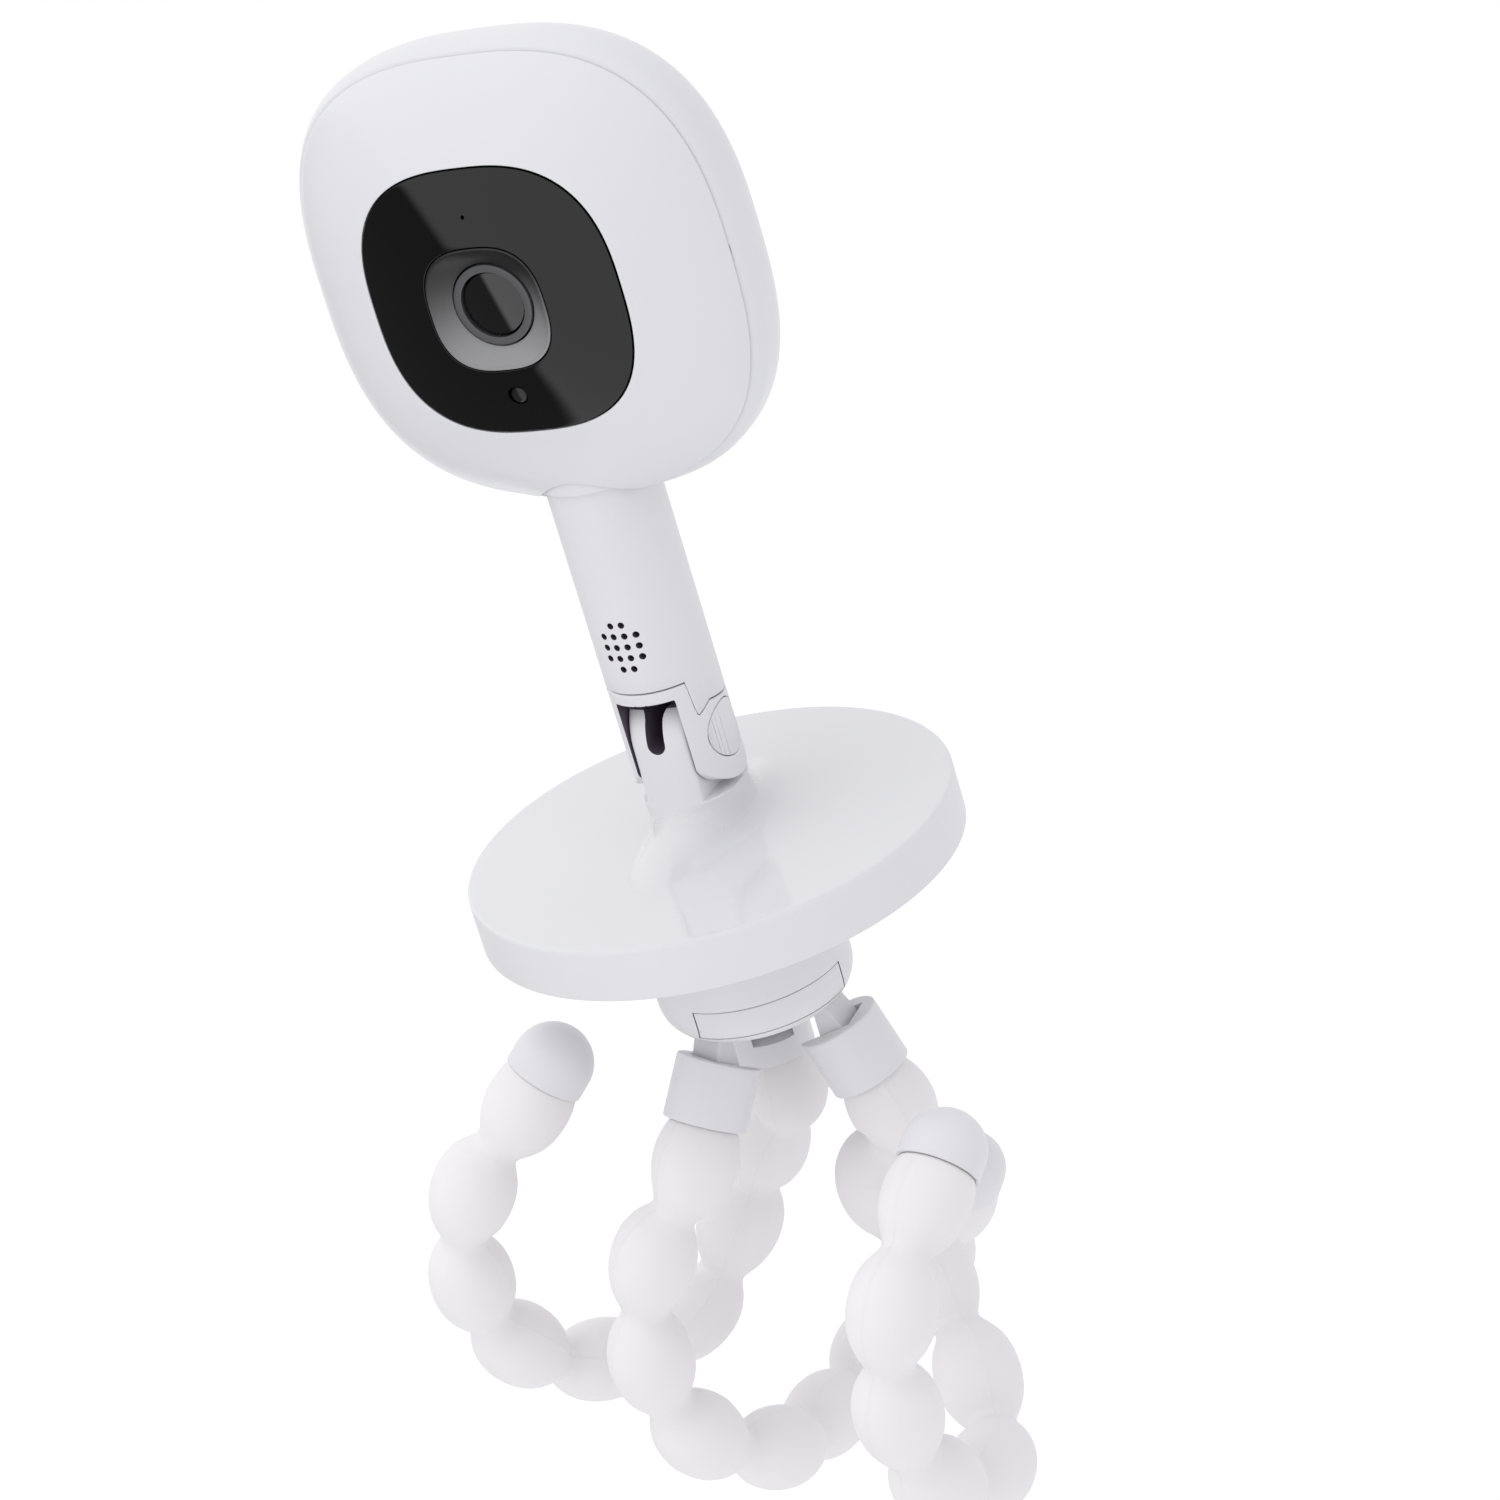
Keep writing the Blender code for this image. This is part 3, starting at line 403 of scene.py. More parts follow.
def piece(name, source, place, body, key, stands_for=(), sharp=40.0):
    """A finished piece from a bmesh or a mesh in millimetres, riding on a CAD body."""
    if isinstance(source, bmesh.types.BMesh):
        mesh = bpy.data.meshes.new(name)
        bmesh.ops.recalc_face_normals(source, faces=source.faces)
        source.to_mesh(mesh)
        source.free()
    else:
        mesh = source
        mesh.name = name
    mesh.materials.clear()
    mesh.materials.append(LOOKS[key])
    mesh.transform(place @ Matrix.Scale(MM, 4))
    mesh.shade_smooth()
    mesh.set_sharp_from_angle(angle=math.radians(sharp))
    made = bpy.data.objects.new(name, mesh)
    bpy.context.scene.collection.objects.link(made)
    if body:
        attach(made, body)
    if stands_for:
        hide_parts(*stands_for)
    return made


def paint(made, key, chosen):
    """Gives a second look to the faces whose centre and normal, in metres, are chosen."""
    made.data.materials.append(LOOKS[key])
    for polygon in made.data.polygons:
        if chosen(polygon.center, polygon.normal):
            polygon.material_index = len(made.data.materials) - 1


# --- head -----------------------------------------------------------------------------------
def dome_turn(half, offset=0.0):
    """The turn at which the front dome has a given half width."""
    return math.degrees(math.asin((half / (HEAD_HALF - offset)) ** (FRONT_POWER / 2.0)))


def dome_turn_at(level, offset=0.0):
    """The turn at which the front dome reaches a level."""
    share = (level - WIDEST) / (FRONT_DEPTH - offset)
    return math.degrees(math.acos(share ** (FRONT_POWER / 2.0)))


def dome(start, end, steps, depth=FRONT_DEPTH, power=FRONT_POWER, offset=0.0):
    """Points of (half width, height) on a dome of the head; turn 90 is the widest plane."""
    points = []
    for turn in spread(start, end, steps):
        angle = math.radians(turn)
        rise = (abs(depth) - offset) * math.cos(angle) ** (2.0 / power) if turn < 90.0 else 0.0
        half = (HEAD_HALF - offset) * math.sin(angle) ** (2.0 / power)
        points.append((half, WIDEST + math.copysign(rise, depth)))
    return points


def dome_level(half):
    """Height of the front dome where it has a given half width."""
    return dome(dome_turn(half), dome_turn(half), 1)[0][1]


def corners(points, radius):
    """Outline points with a corner radius on the first and the last of them."""
    last = len(points) - 1
    return [(x, y, radius if i in (0, last) else 0.0) for i, (x, y) in enumerate(points)]


def settled(mesh):
    """Draws a shell down towards the front of the neck."""
    for vert in mesh.vertices:
        across, up, out = vert.co
        start = min(1.0, max(0.0, (-up - NECK_HIGH) / (NECK_FULL - NECK_HIGH)))
        weight = math.exp(-(across / NECK_SPAN) ** 2 - ((out - NECK_DEPTH) / NECK_REACH) ** 2)
        vert.co.y -= NECK_DROP * start * start * (3.0 - 2.0 * start) * weight
    return mesh


def build_head():
    """The two casings, each a shell of the dome with a bore for the neck."""
    hole, lip = WINDOW_HALF + GAP, SEAM - GAP
    outer = dome(dome_turn_at(SEAM), dome_turn(hole), 30)
    inner = dome(dome_turn(hole, HEAD_WALL), dome_turn_at(SEAM, HEAD_WALL), 10, offset=HEAD_WALL)
    front = rounded(corners(outer, 0.3) + corners(inner, 0.1))
    outer = dome(3.0, 90.0, 34, -REAR_DEPTH, REAR_POWER) + dome(90.0, dome_turn_at(lip), 5)[1:]
    inner = dome(dome_turn_at(lip, HEAD_WALL), 90.0, 2, offset=HEAD_WALL)
    inner += dome(90.0, 3.0, 12, -REAR_DEPTH, REAR_POWER, HEAD_WALL)[1:]
    rear = outer[:-1] + rounded(corners([outer[-1], inner[0]], 0.3)) + inner[1:]

    def neck_bore():
        return rod(COLLAR_R + NECK_CLEARANCE, *NECK_BORE, "Y", sides=CUTTER)

    shell = carved(pillow(front, HEAD_POWER), [neck_bore()])
    piece("front_casing", settled(shell), LENS, "head", "shell", ["front_shell"], 50.0)
    bowl = loft([squircle(half, half, z, HEAD_POWER) for half, z in rear])
    shell = carved(bowl, [neck_bore()])
    piece("rear_casing", settled(shell), LENS, "head", "shell", ["rear_shell"], 50.0)


def build_window():
    """The black panel, flush with the dome, round the lens surround and with its two ports."""
    faces = [(half, dome_level(half)) for half in spread(WINDOW_HALF, SURROUND_HALF + GAP, 14)]
    back = [(half, level - WINDOW_THICK) for half, level in faces[::-3]]
    outline = rounded(corners(faces, 0.18) + corners(back, 0.1))
    drills = [rod(PORT_R, *WINDOW_DRILL, centre=(0.0, -PORT_OFFSET, 0.0)),
              rod(MICROPHONE_R, *WINDOW_DRILL, centre=(0.0, PORT_OFFSET, 0.0), sides=20)]
    panel = carved(pillow(outline, HEAD_POWER), drills)
    piece("window", panel, LENS, "head", "window", ["window_panel"], 50.0)


def build_optics():
    """The dish round the lens, the ring and the glass in it, and the sensor below."""
    rim = dome_level(SURROUND_HALF)
    bowl = smooth_rows([(SURROUND_HALF - 0.35, rim + 0.02, HEAD_POWER), (12.5, rim - 0.75, HEAD_POWER),
                        (11.2, rim - 1.9, 2.5), (10.1, rim - 2.6, 2.15), (9.35, rim - 2.85, 2.0)], 5)
    rows = [(SURROUND_HALF, rim - 1.6, HEAD_POWER), (SURROUND_HALF, rim - 0.12, HEAD_POWER)]
    rows += bowl + [(9.3, rim - 3.1, 2.0), (9.3, 17.2, 2.0), (11.2, 17.2, 2.0), (12.6, rim - 3.4, 2.3)]
    rings = [squircle(half, half, level, power) for half, level, power in rows]
    dish = piece("lens_dish", loft(rings, True), LENS, "head", "surround", ["lens_surround"])
    # Painted shade: the dish darkens towards its top, where its concave face turns down from the light.
    dish.data.materials[0] = shade_graded("surround_shade_graded", LOOKS["surround"], LENS.translation.z)
    barrel = rounded([(BARREL_R, BARREL_FRONT, 0.25), (BARREL_R, BARREL_BACK, 0.0),
                      (BARREL_BORE, BARREL_BACK, 0.0), (BARREL_BORE, BARREL_FRONT - 0.9, 0.1),
                      (BARREL_BORE - 0.25, BARREL_FRONT - 0.5, 0.1),
                      (BARREL_BORE - 0.25, BARREL_FRONT, 0.12)])
    piece("lens_ring", turned(barrel, FINE), LENS, "head", "ring", ["lens_barrel"])
    crown = arc((0.0, BARREL_FRONT - LENS_SET_BACK - LENS_CURVE), LENS_CURVE, 89.9, 80.3, 12)
    glass = crown + [(crown[-1][0], LENS_BACK), (0.2, LENS_BACK)]
    piece("front_lens", turned(glass, FINE, False), LENS, "head", "lens", ["lens_glass"], 30.0)
    port = LENS @ Matrix.Translation((0.0, -PORT_OFFSET * MM, (dome_level(PORT_OFFSET) - PORT_DEPTH) * MM))
    bead = rounded([(0.05, 0.05, 0.0), (1.5, -0.05, 0.3), (1.95, -0.5, 0.2), (1.95, -2.4, 0.0),
                    (0.05, -2.4, 0.0)])
    piece("sensor_lens", turned(bead, 48, False), port, "head", "port", ["light_sensor"])


# --- stem and hinge -------------------------------------------------------------------------
def tube_foot(angle):
    """Height of the stem tube's lower edge at an angle from the front, in degrees."""
    for (a, low), (b, high) in zip(TUBE_FOOT, TUBE_FOOT[1:]):
        if angle <= b:
            return low + (high - low) * (angle - a) / (b - a)
    return TUBE_FOOT[-1][1]


def stem_ring(radius, shift, sides=STEM_SIDES):
    """A ring of the stem whose heights follow the tube's lower edge."""
    ring = []
    for i in range(sides):
        angle = 360.0 * i / sides
        turn = math.radians(angle)
        foot = tube_foot(min(angle, 360.0 - angle))
        ring.append(Vector((radius * math.sin(turn), -radius * math.cos(turn), foot + shift)))
    return ring


def level_ring(radius, height, sides=STEM_SIDES):
    """A level ring of the stem, with its points over those of stem_ring()."""
    return [Vector((point.x, point.y, height)) for point in stem_ring(radius, 0.0, sides)]


def grille_drills():
    """One bmesh with the drills of all the sound holes."""
    build = bmesh.new()
    rows = len(GRILLE_ROWS)
    for row, count in enumerate(GRILLE_ROWS):
        height = GRILLE_HEIGHT + (rows - 1 - 2 * row) * GRILLE_PITCH / 2.0
        for column in range(count):
            across = (column - (count - 1) / 2.0) * GRILLE_PITCH
            drill = rod(GRILLE_HOLE_R, *GRILLE_DRILL, "Y", (across, 0.0, height), 24)
            mesh = bpy.data.meshes.new("drill")
            drill.to_mesh(mesh)
            drill.free()
            build.from_mesh(mesh)
            bpy.data.meshes.remove(mesh)
    return build


def build_stem():
    """The tube with its sound holes and inlet, with painted shade inside, and the collar at the head."""
    inner = STEM_R - STEM_WALL
    rings = [stem_ring(inner, 0.0), stem_ring(STEM_R - 0.25, 0.0), stem_ring(STEM_R - 0.07, 0.07),
             stem_ring(STEM_R, 0.25), level_ring(STEM_R, GRILLE_LOW),
             level_ring(STEM_R, GRILLE_HIGH), level_ring(STEM_R, STEM_TOP), level_ring(inner, STEM_TOP)]
    inlet = block(INLET_SIZE, (0.0, STEM_R, INLET_HEIGHT))
    tube = carved(loft(rings, True), [grille_drills(), inlet])
    made = piece("stem", tube, HEAD, "head", "satin", ["stem_tube"])
    inverse = HEAD.inverted()
    limit = STEM_R - 0.4

    def inside(centre, normal):
        local = inverse @ centre / MM
        return math.hypot(local.x, local.y) < limit

    # Painted shade on the tube's inner wall, seen through its holes and inlet.
    paint(made, "painted_shade", inside)
    collar = rounded([(COLLAR_R, COLLAR_HIGH, 0.0), (COLLAR_R, COLLAR_LOW, 0.9),
                      (STEM_R + 0.12, COLLAR_LOW, 0.1), (STEM_R + 0.12, COLLAR_HIGH, 0.0)])
    piece("neck_collar", turned(collar, FINE), HEAD, "head", "satin", ["stem_collar"])


def fork_outline():
    """A solid with the fork's side view: straight down to the hinge, then round about its axis."""
    wide, high = 14.0, SPIGOT_TOP + 1.0
    side = [(-wide, high), (-wide, TILT_HEIGHT)]
    side += [(-y, z) for y, z in arc((0.0, TILT_HEIGHT), EAR_R, -14.0, -166.0, 40)]
    side += [(wide, TILT_HEIGHT), (wide, high)]
    return loft([[Vector((x, y, z)) for y, z in side] for x in (-15.0, 15.0)])


def build_fork():
    """The two-eared fork on its spigot, with painted shade in its slot, and the round lid on each ear."""
    spigot = STEM_R - STEM_WALL - GAP
    line = -0.3
    rings = [level_ring(STEM_R, TILT_HEIGHT - EAR_R - 4.0), stem_ring(STEM_R, line - 0.2),
             stem_ring(STEM_R - 0.2, line), stem_ring(spigot, line), level_ring(spigot, SPIGOT_TOP)]
    slot = block((2 * SLOT_HALF, 2 * THROUGH, 2 * THROUGH), (0.0, 0.0, BRIDGE_LOW - THROUGH))
    cuts = [slot, rod(AXLE_R + GAP, -THROUGH, THROUGH, "X", (0.0, 0.0, TILT_HEIGHT))]
    for side_sign in (-1, 1):
        start, end = sorted((side_sign * (SIDE_CAP_IN - GAP), side_sign * THROUGH))
        cuts.append(rod(SIDE_CAP_R + 0.2, start, end, "X", (0.0, 0.0, TILT_HEIGHT), CUTTER))
    fork = carved(loft(rings), cuts, common=[fork_outline()], voxel=0.22, soften=5)
    made = piece("hinge_yoke", fork, HEAD, "head", "satin", ["hinge_fork"], 60.0)
    inverse = HEAD.inverted()
    across = HEAD.to_3x3().col[0]

    # Painted shade: the slot's roof and inner cheeks, where the gap lies in shade.
    def shade_in_slot(centre, normal):
        local = inverse @ centre / MM
        roof = normal.z < -0.5 and BRIDGE_LOW - 1.2 < local.z < BRIDGE_LOW + 0.3
        cheek = abs(normal.dot(across)) > 0.8 and local.z > TILT_HEIGHT - 9.0
        return (roof or cheek) and abs(local.x) < SLOT_HALF + 0.3 and local.z < BRIDGE_LOW + 0.3

    paint(made, "painted_shade", shade_in_slot)
    for side_sign, name in ((-1, "left"), (1, "right")):
        ends = sorted((side_sign * SIDE_CAP_IN, side_sign * 14.0))
        cap = rod(SIDE_CAP_R, *ends, "X", sides=CUTTER)
        tube = rod(STEM_R - 0.02, -THROUGH, THROUGH, "Z", sides=FINE)
        lid = carved(cap, common=[tube], bevel=0.12)
        place = HEAD @ Matrix.Translation((0.0, 0.0, TILT_HEIGHT * MM))
        piece(f"hinge_lid_{name}", lid, place, "head", "satin", [f"hinge_cap_{name}"])


# --- disc base --------------------------------------------------------------------------------
def tongue_ring(half_y, level, share=1.0):
    """An oval ring of the pillar, its sides cut flat by a share, with eased edges."""
    ring = []
    for point in squircle(11.2, half_y, level, 2.35):
        wide = math.exp(-abs(point.x) / EDGE_EASE) + math.exp(-TONGUE_HALF / EDGE_EASE)
        flat = math.copysign(-EDGE_EASE * math.log(wide), point.x)
        ring.append(Vector((point.x + (flat - point.x) * share, point.y, level)))
    return ring


def prong_slot():
    """A blind U-shaped cutter from the front, its top flared so that the prongs end round."""
    top = PRONG_TOP + 3.0
    side = [(PRONG_MOUTH_HALF, PRONG_TOP + 0.3), (3.7, 32.9), (2.95, 32.4), (2.4, 31.6),
            (PRONG_SLOT_HALF, 30.6)]
    heel = arc((0.0, PRONG_SLOT_LOW + PRONG_SLOT_HALF), PRONG_SLOT_HALF, 0.0, -180.0, 24)
    outline = [(PRONG_MOUTH_HALF, top)] + side + heel
    outline += [(-x, z) for x, z in side[::-1]] + [(-PRONG_MOUTH_HALF, top)]
    return prism(outline, PRONG_SLOT_FRONT, PRONG_SLOT_BACK)


def base_rings(inner):
    """Rings over the disc from its lower edge, up the flare, the pillar and its round end."""
    low = -DISC_HEIGHT + 0.35
    edge = rounded([(inner, low, 0.0), (DISC_R, low, 0.4), (DISC_R, 0.0, DISC_EDGE),
                    (inner, 0.0, 0.0)], 6)
    rings = [squircle(r, r, z) for r, z in edge]
    rings += [squircle(r, r, 0.0) for r in (48.0, 42.0, 36.0)]
    flare = smooth_rows([(14.2, 31.6, 0.0, 1.8), (13.2, 30.0, 0.2, 1.8), (11.9, 26.6, 1.0, 1.8),
                         (10.7, 21.0, 2.8, 1.85), (10.2, 15.8, 5.6, 2.0), (10.6, 13.1, 8.4, 2.15),
                         (11.2, 12.3, 10.6, 2.35)], 5)
    rings += [squircle(x, y, z, power) for x, y, z, power in flare]
    side = [(12.24, 10.85, 0.1), (12.21, 10.95, 0.5), (12.18, 11.05, 1.0), (11.98, 12.5),
            (11.7, 15.0), (11.4, 19.0), (TONGUE_R, TILT_HEIGHT)]
    for turn in spread(8.0, 50.0, 8):
        angle = math.radians(turn)
        side.append((TONGUE_R * math.cos(angle), TILT_HEIGHT + TONGUE_R * math.sin(angle)))
    side += [(6.7, 32.65), (6.0, 32.95), (4.6, PRONG_TOP)]
    return rings + [tongue_ring(*row) for row in side]


def build_base():
    """The disc with its pillar in one moulding, glossy on top, and the two pieces below it."""
    inner = DISC_R - DISC_WALL
    hollow = turned([(inner, -DISC_HEIGHT - 5.0), (inner, -DISC_WALL)], FINE, False)
    bore = rod(AXLE_R + 0.1, -THROUGH, THROUGH, "X", (0.0, 0.0, TILT_HEIGHT))
    cover = carved(loft(base_rings(inner)), [hollow, prong_slot(), bore])
    made = piece("disc_cover", cover, HEAD, "base", "satin", ["base_cover"], 32.0)
    inverse = HEAD.inverted()
    facing = HEAD.to_3x3().col[1]

    def on_top(centre, normal):
        return normal.z > 0.35 and -DISC_EDGE < (inverse @ centre / MM).z < FLARE_TOP

    # Painted shade: the prong slot's walls and back, and the faces over the prongs' tops, which lie in shade.
    def shade_in_notch(centre, normal):
        local = inverse @ centre / MM
        back = abs(local.y - PRONG_SLOT_BACK) < 0.1
        wall = abs(normal.dot(facing)) < 0.2 and local.y < PRONG_SLOT_BACK - 0.2 or back
        inside = abs(local.x) < PRONG_MOUTH_HALF + 0.1 and wall
        return local.z > PRONG_SLOT_LOW - 0.05 and (inside or local.z > PRONG_TOP - 0.8)

    paint(made, "disc", on_top)
    paint(made, "painted_shade", shade_in_notch)
    plate = rounded([(inner - 0.3, -12.2, 0.2), (inner - 0.3, -10.2, 0.0), (STUD_R + 0.4, -10.2, 0.0),
                     (STUD_R + 0.4, -12.2, 0.3)])
    piece("bottom_plate", turned(plate, FINE), HEAD, "base", "satin", ["base_plate"])
    foot = rounded([(50.5, -13.16, 0.3), (50.5, -12.55, 0.0), (45.0, -12.55, 0.0), (45.0, -13.16, 0.3)])
    piece("foot_pad", turned(foot, FINE), HEAD, "base", "rubber", ["foot_ring"])


# --- hub --------------------------------------------------------------------------------------
def latch_window(start, clearance=0.0):
    """A box round the latch panel, its sides parallel to the way that the panel is pressed."""
    high, low = LATCH_HIGH + clearance, LATCH_LOW - clearance
    size = (HUB_R, 2.0 * (LATCH_HALF_WIDTH + clearance), high - low)
    return block(size, (start + HUB_R / 2.0, 0.0, (high + low) / 2.0))


def hub_outline():
    """Outer profile of the hub from its top edge to the rounded lower edge."""
    bottom = smooth_rows([(HUB_R, -36.0), (22.2, -38.8), (21.5, -41.3), (20.0, -43.4),
                          (18.2, HUB_LOW + 0.4)], 5)
    return [(HUB_R - 0.6, HUB_TOP), (HUB_R - 0.15, HUB_TOP - 0.15), (HUB_R, HUB_TOP - 0.6)] + bottom


def lug():
    """A tongue below the hub along +X, thin along its hinge axis and round about it."""
    high = HUB_LOW + 1.0
    root = PLATE_R - LUG_RADIUS - 0.8
    side = [(-LUG_R, high), (root, high), (root, HUB_LOW), (root + 1.4, HUB_LOW), (LUG_R, LUG_HEIGHT)]
    side += arc((0.0, LUG_HEIGHT), LUG_R, -8.0, -172.0, 20)
    side += [(-LUG_R, LUG_HEIGHT)]
    return prism([(LUG_RADIUS + out, z) for out, z in side], -LUG_HALF_WIDTH, LUG_HALF_WIDTH)


def build_hub():
    """The hollow housing with its latch panel, and the stud on which the disc turns."""
    outer = hub_outline()
    shell = outer + [(16.4, HUB_LOW + 0.4), (18.0, -40.0), (19.6, -36.0), (19.6, -16.2),
                     (STUD_R + 0.4, -16.2), (STUD_R + 0.4, HUB_TOP)]
    opening = latch_window(LATCH_IN - LATCH_TRAVEL - GAP, 0.22)
    housing = carved(turned(shell, FINE), [opening])
    piece("hub_body", housing, LATCH, "hub", "satin", ["hub_housing"])
    wall = [(HUB_R, -30.0)] + outer[3:-2] + [(18.4, -43.0), (18.6, -38.0), (18.6, -30.0)]
    panel = carved(turned(wall[::-1], FINE), common=[latch_window(LATCH_IN)], bevel=0.15)
    piece("latch_button", panel, LATCH, "latch", "satin", ["hub_latch"])
    stud = rounded([(12.0, -19.6, 0.2), (12.0, -16.6, 0.2), (STUD_R, -16.6, 0.0), (STUD_R, -9.8, 0.0),
                    (11.0, -9.8, 0.2), (11.0, -7.6, 0.2), (5.0, -7.6, 0.2), (5.0, -19.6, 0.2)])
    piece("turning_stud", turned(stud), HUB, "hub", "surround", ["swivel_stud"])


def build_leg_mount():
    """The plate in the hub's mouth with a bored lug for each leg."""
    plate = turned(rounded([(PLATE_R, -42.6, 0.2), (PLATE_R, HUB_LOW, 0.4), (0.5, HUB_LOW, 0.0),
                            (0.5, -42.6, 0.0)]), FINE, False)
    lugs = [swung(lug(), azimuth) for azimuth, _, _ in LEGS.values()]
    bores = [swung(rod(PIN_R + 0.1, -THROUGH, THROUGH, "Y", (LUG_RADIUS, 0.0, LUG_HEIGHT)), azimuth)
             for azimuth, _, _ in LEGS.values()]
    mount = carved(plate, bores, joins=lugs, voxel=0.3, soften=3)
    piece("leg_carrier", mount, HUB, "hub", "satin", ["leg_mount"], 60.0)


# --- legs -------------------------------------------------------------------------------------
def leg_points(azimuth, tilt, route):
    """The knuckle's axis, the way of the ferrule, and the centres of the beads and the cap."""
    turn, lean = math.radians(azimuth), math.radians(tilt)
    out = Vector((math.cos(turn), math.sin(turn), 0.0))
    pivot = out * LUG_RADIUS + Vector((0.0, 0.0, LUG_HEIGHT))
    way = out * math.sin(lean) - Vector((0.0, 0.0, math.cos(lean)))
    return pivot, way, [pivot + way * FIRST_BEAD] + [Vector(point) for point in route]


def leg_curve(centres, way, place):
    """Point and direction on the leg's smooth curve; place 1 is the first bead's centre."""
    if place <= 1.0:
        return centres[0] + way * (place - 1.0) * BEAD_PITCH, way.copy()
    if place > LAST_BEAD:
        point, along = leg_curve(centres, way, float(LAST_BEAD))
        return point + along * (place - LAST_BEAD) * BEAD_PITCH, along
    low = min(int(place) - 1, len(centres) - 2)
    share = place - 1 - low
    start, end = centres[low], centres[low + 1]
    length = (end - start).length * NECK_BEND

    def slope(i):
        if i == 0:
            return way.copy()
        before, after = centres[i - 1], centres[min(i + 1, len(centres) - 1)]
        return (after - before).normalized()

    a, b = slope(low) * length, slope(low + 1) * length
    s, s2, s3 = share, share ** 2, share ** 3
    point = (start * (2 * s3 - 3 * s2 + 1) + a * (s3 - 2 * s2 + s)
             + end * (3 * s2 - 2 * s3) + b * (s3 - s2))
    along = (start * (6 * s2 - 6 * s) + a * (3 * s2 - 4 * s + 1)
             + end * (6 * s - 6 * s2) + b * (3 * s2 - 2 * s))
    return point, along.normalized()


def bead_radius(place):
    """Radius of the sleeve: rounded beads that melt into their necks."""
    phase = abs(place - round(place))
    bead = BEAD_R * math.sqrt(max(0.0, 1.0 - (phase * BEAD_PITCH / BEAD_LENGTH) ** 2))
    return BEAD_MELT * math.log(math.exp(bead / BEAD_MELT) + math.exp(NECK_R / BEAD_MELT))


def seam_spokes():
    """Turns round the sleeve in degrees, with a close set of three at each mould line."""
    turns = []
    for seam in SEAM_TURNS:
        turns += [seam - SEAM_WIDTH, seam, seam + SEAM_WIDTH]
        turns += spread(seam + 7.0, seam + 173.0, 26)
    return turns


def sleeve(centres, way, places, twist):
    """Rings of a leg's sleeve, with a mould line down both of its sides."""
    rings = []
    turns = seam_spokes()
    spoke = Vector((1.0, 0.0, 0.0))
    for place in places:
        point, along = leg_curve(centres, way, place)
        radius = bead_radius(place)
        spoke = (spoke - along * spoke.dot(along)).normalized()
        across = along.cross(spoke)
        ring = []
        for turn in turns:
            angle = math.radians(turn + twist)
            reach = radius + (SEAM_RISE if turn in SEAM_TURNS else 0.0)
            ring.append(point + (spoke * math.cos(angle) + across * math.sin(angle)) * reach)
        rings.append(ring)
    return rings


def build_ferrule(number, azimuth, tilt, pivot):
    """A leg's rigid sleeve end on its knuckle, slotted for the lug."""
    swing = (HUB @ Matrix.Translation(pivot * MM) @ Matrix.Rotation(math.radians(azimuth - 90.0), 4, "Z")
             @ Matrix.Rotation(math.radians(tilt), 4, "X"))
    rim = rounded([(0.5, FERRULE_ABOVE, 0.0), (FERRULE_R, FERRULE_ABOVE, 0.55),
                   (FERRULE_R, -FERRULE_BELOW, 0.35), (0.5, -FERRULE_BELOW, 0.0)])
    half = FERRULE_SLOT_SIZE / 2.0
    slot = block((2 * (LUG_HALF_WIDTH + GAP), FERRULE_SLOT_SIZE, FERRULE_SLOT_SIZE),
                 (0.0, FERRULE_SLOT_BACK - half, FERRULE_SLOT_LOW + half))
    bore = rod(PIN_R + GAP, -FERRULE_BORE_HALF, FERRULE_BORE_HALF, "X")
    ferrule = carved(turned(rim, FINE, False), [slot, bore])
    piece(f"leg_{number}_collar", ferrule, swing, f"leg_{number}_upper", "satin",
          [f"leg_{number}_ferrule"], 35.0)


def build_skins(number, way, centres):
    """A leg's sleeve in three lengths, each over one of its hinges."""
    start = 1.0 - (FIRST_BEAD - FERRULE_BELOW - 0.15) / BEAD_PITCH
    end = LAST_BEAD + (CAP_START - 0.05) / BEAD_PITCH
    cuts = [start, *SKIN_JOINS, end]
    every = spread(start, end, round((end - start) * RINGS_PER_BEAD))
    rings = dict(zip(every, sleeve(centres, way, every, SEAM_TWIST[number])))
    for index, hinge in enumerate(HINGES):
        low = min(every, key=lambda place: abs(place - cuts[index]))
        high = min(every, key=lambda place: abs(place - cuts[index + 1]))
        part = [rings[place] for place in every if low <= place <= high]
        nodes = [f"leg_{number}_{index + 1}_segment"]
        if index == len(HINGES) - 1:
            nodes.append(f"leg_{number}_{index + 2}_segment")
        skin = piece(f"leg_{number}_sleeve_{index + 1}", loft(part), HUB, None, "silicone",
                     nodes, 70.0)
        along = leg_curve(centres, way, hinge)[1] * BLEND_HALF * MM
        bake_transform(skin)


def build_tip(number, way, centres):
    """The round cap on a leg's last bead."""
    point, along = leg_curve(centres, way, float(LAST_BEAD))
    rim = [(8.2, 1.2, 0.0), (8.5, 0.0, 0.1), (CAP_R, 0.0, 0.25), (CAP_R, CAP_LENGTH - CAP_R, 0.0)]
    cap = rounded([(0.3, 1.2, 0.0)] + rim)
    cap += arc((0.0, CAP_LENGTH - CAP_R), CAP_R, 0.0, 88.0, 16)[1:]
    turn = along.to_track_quat("Z", "Y").to_matrix().to_4x4()
    place = HUB @ Matrix.Translation((point + along * CAP_START) * MM) @ turn
    piece(f"leg_{number}_tip_cap", turned(cap, FINE, False), place, f"leg_{number}_tip", "satin",
          [f"leg_{number}_end_cap"], 35.0)


def build_leg(number):
    """One whole leg: ferrule, sleeve and cap."""
    azimuth, tilt, route = LEGS[number]
    pivot, way, centres = leg_points(azimuth, tilt, route)
    build_ferrule(number, azimuth, tilt, pivot)
    build_skins(number, way, centres)
    build_tip(number, way, centres)


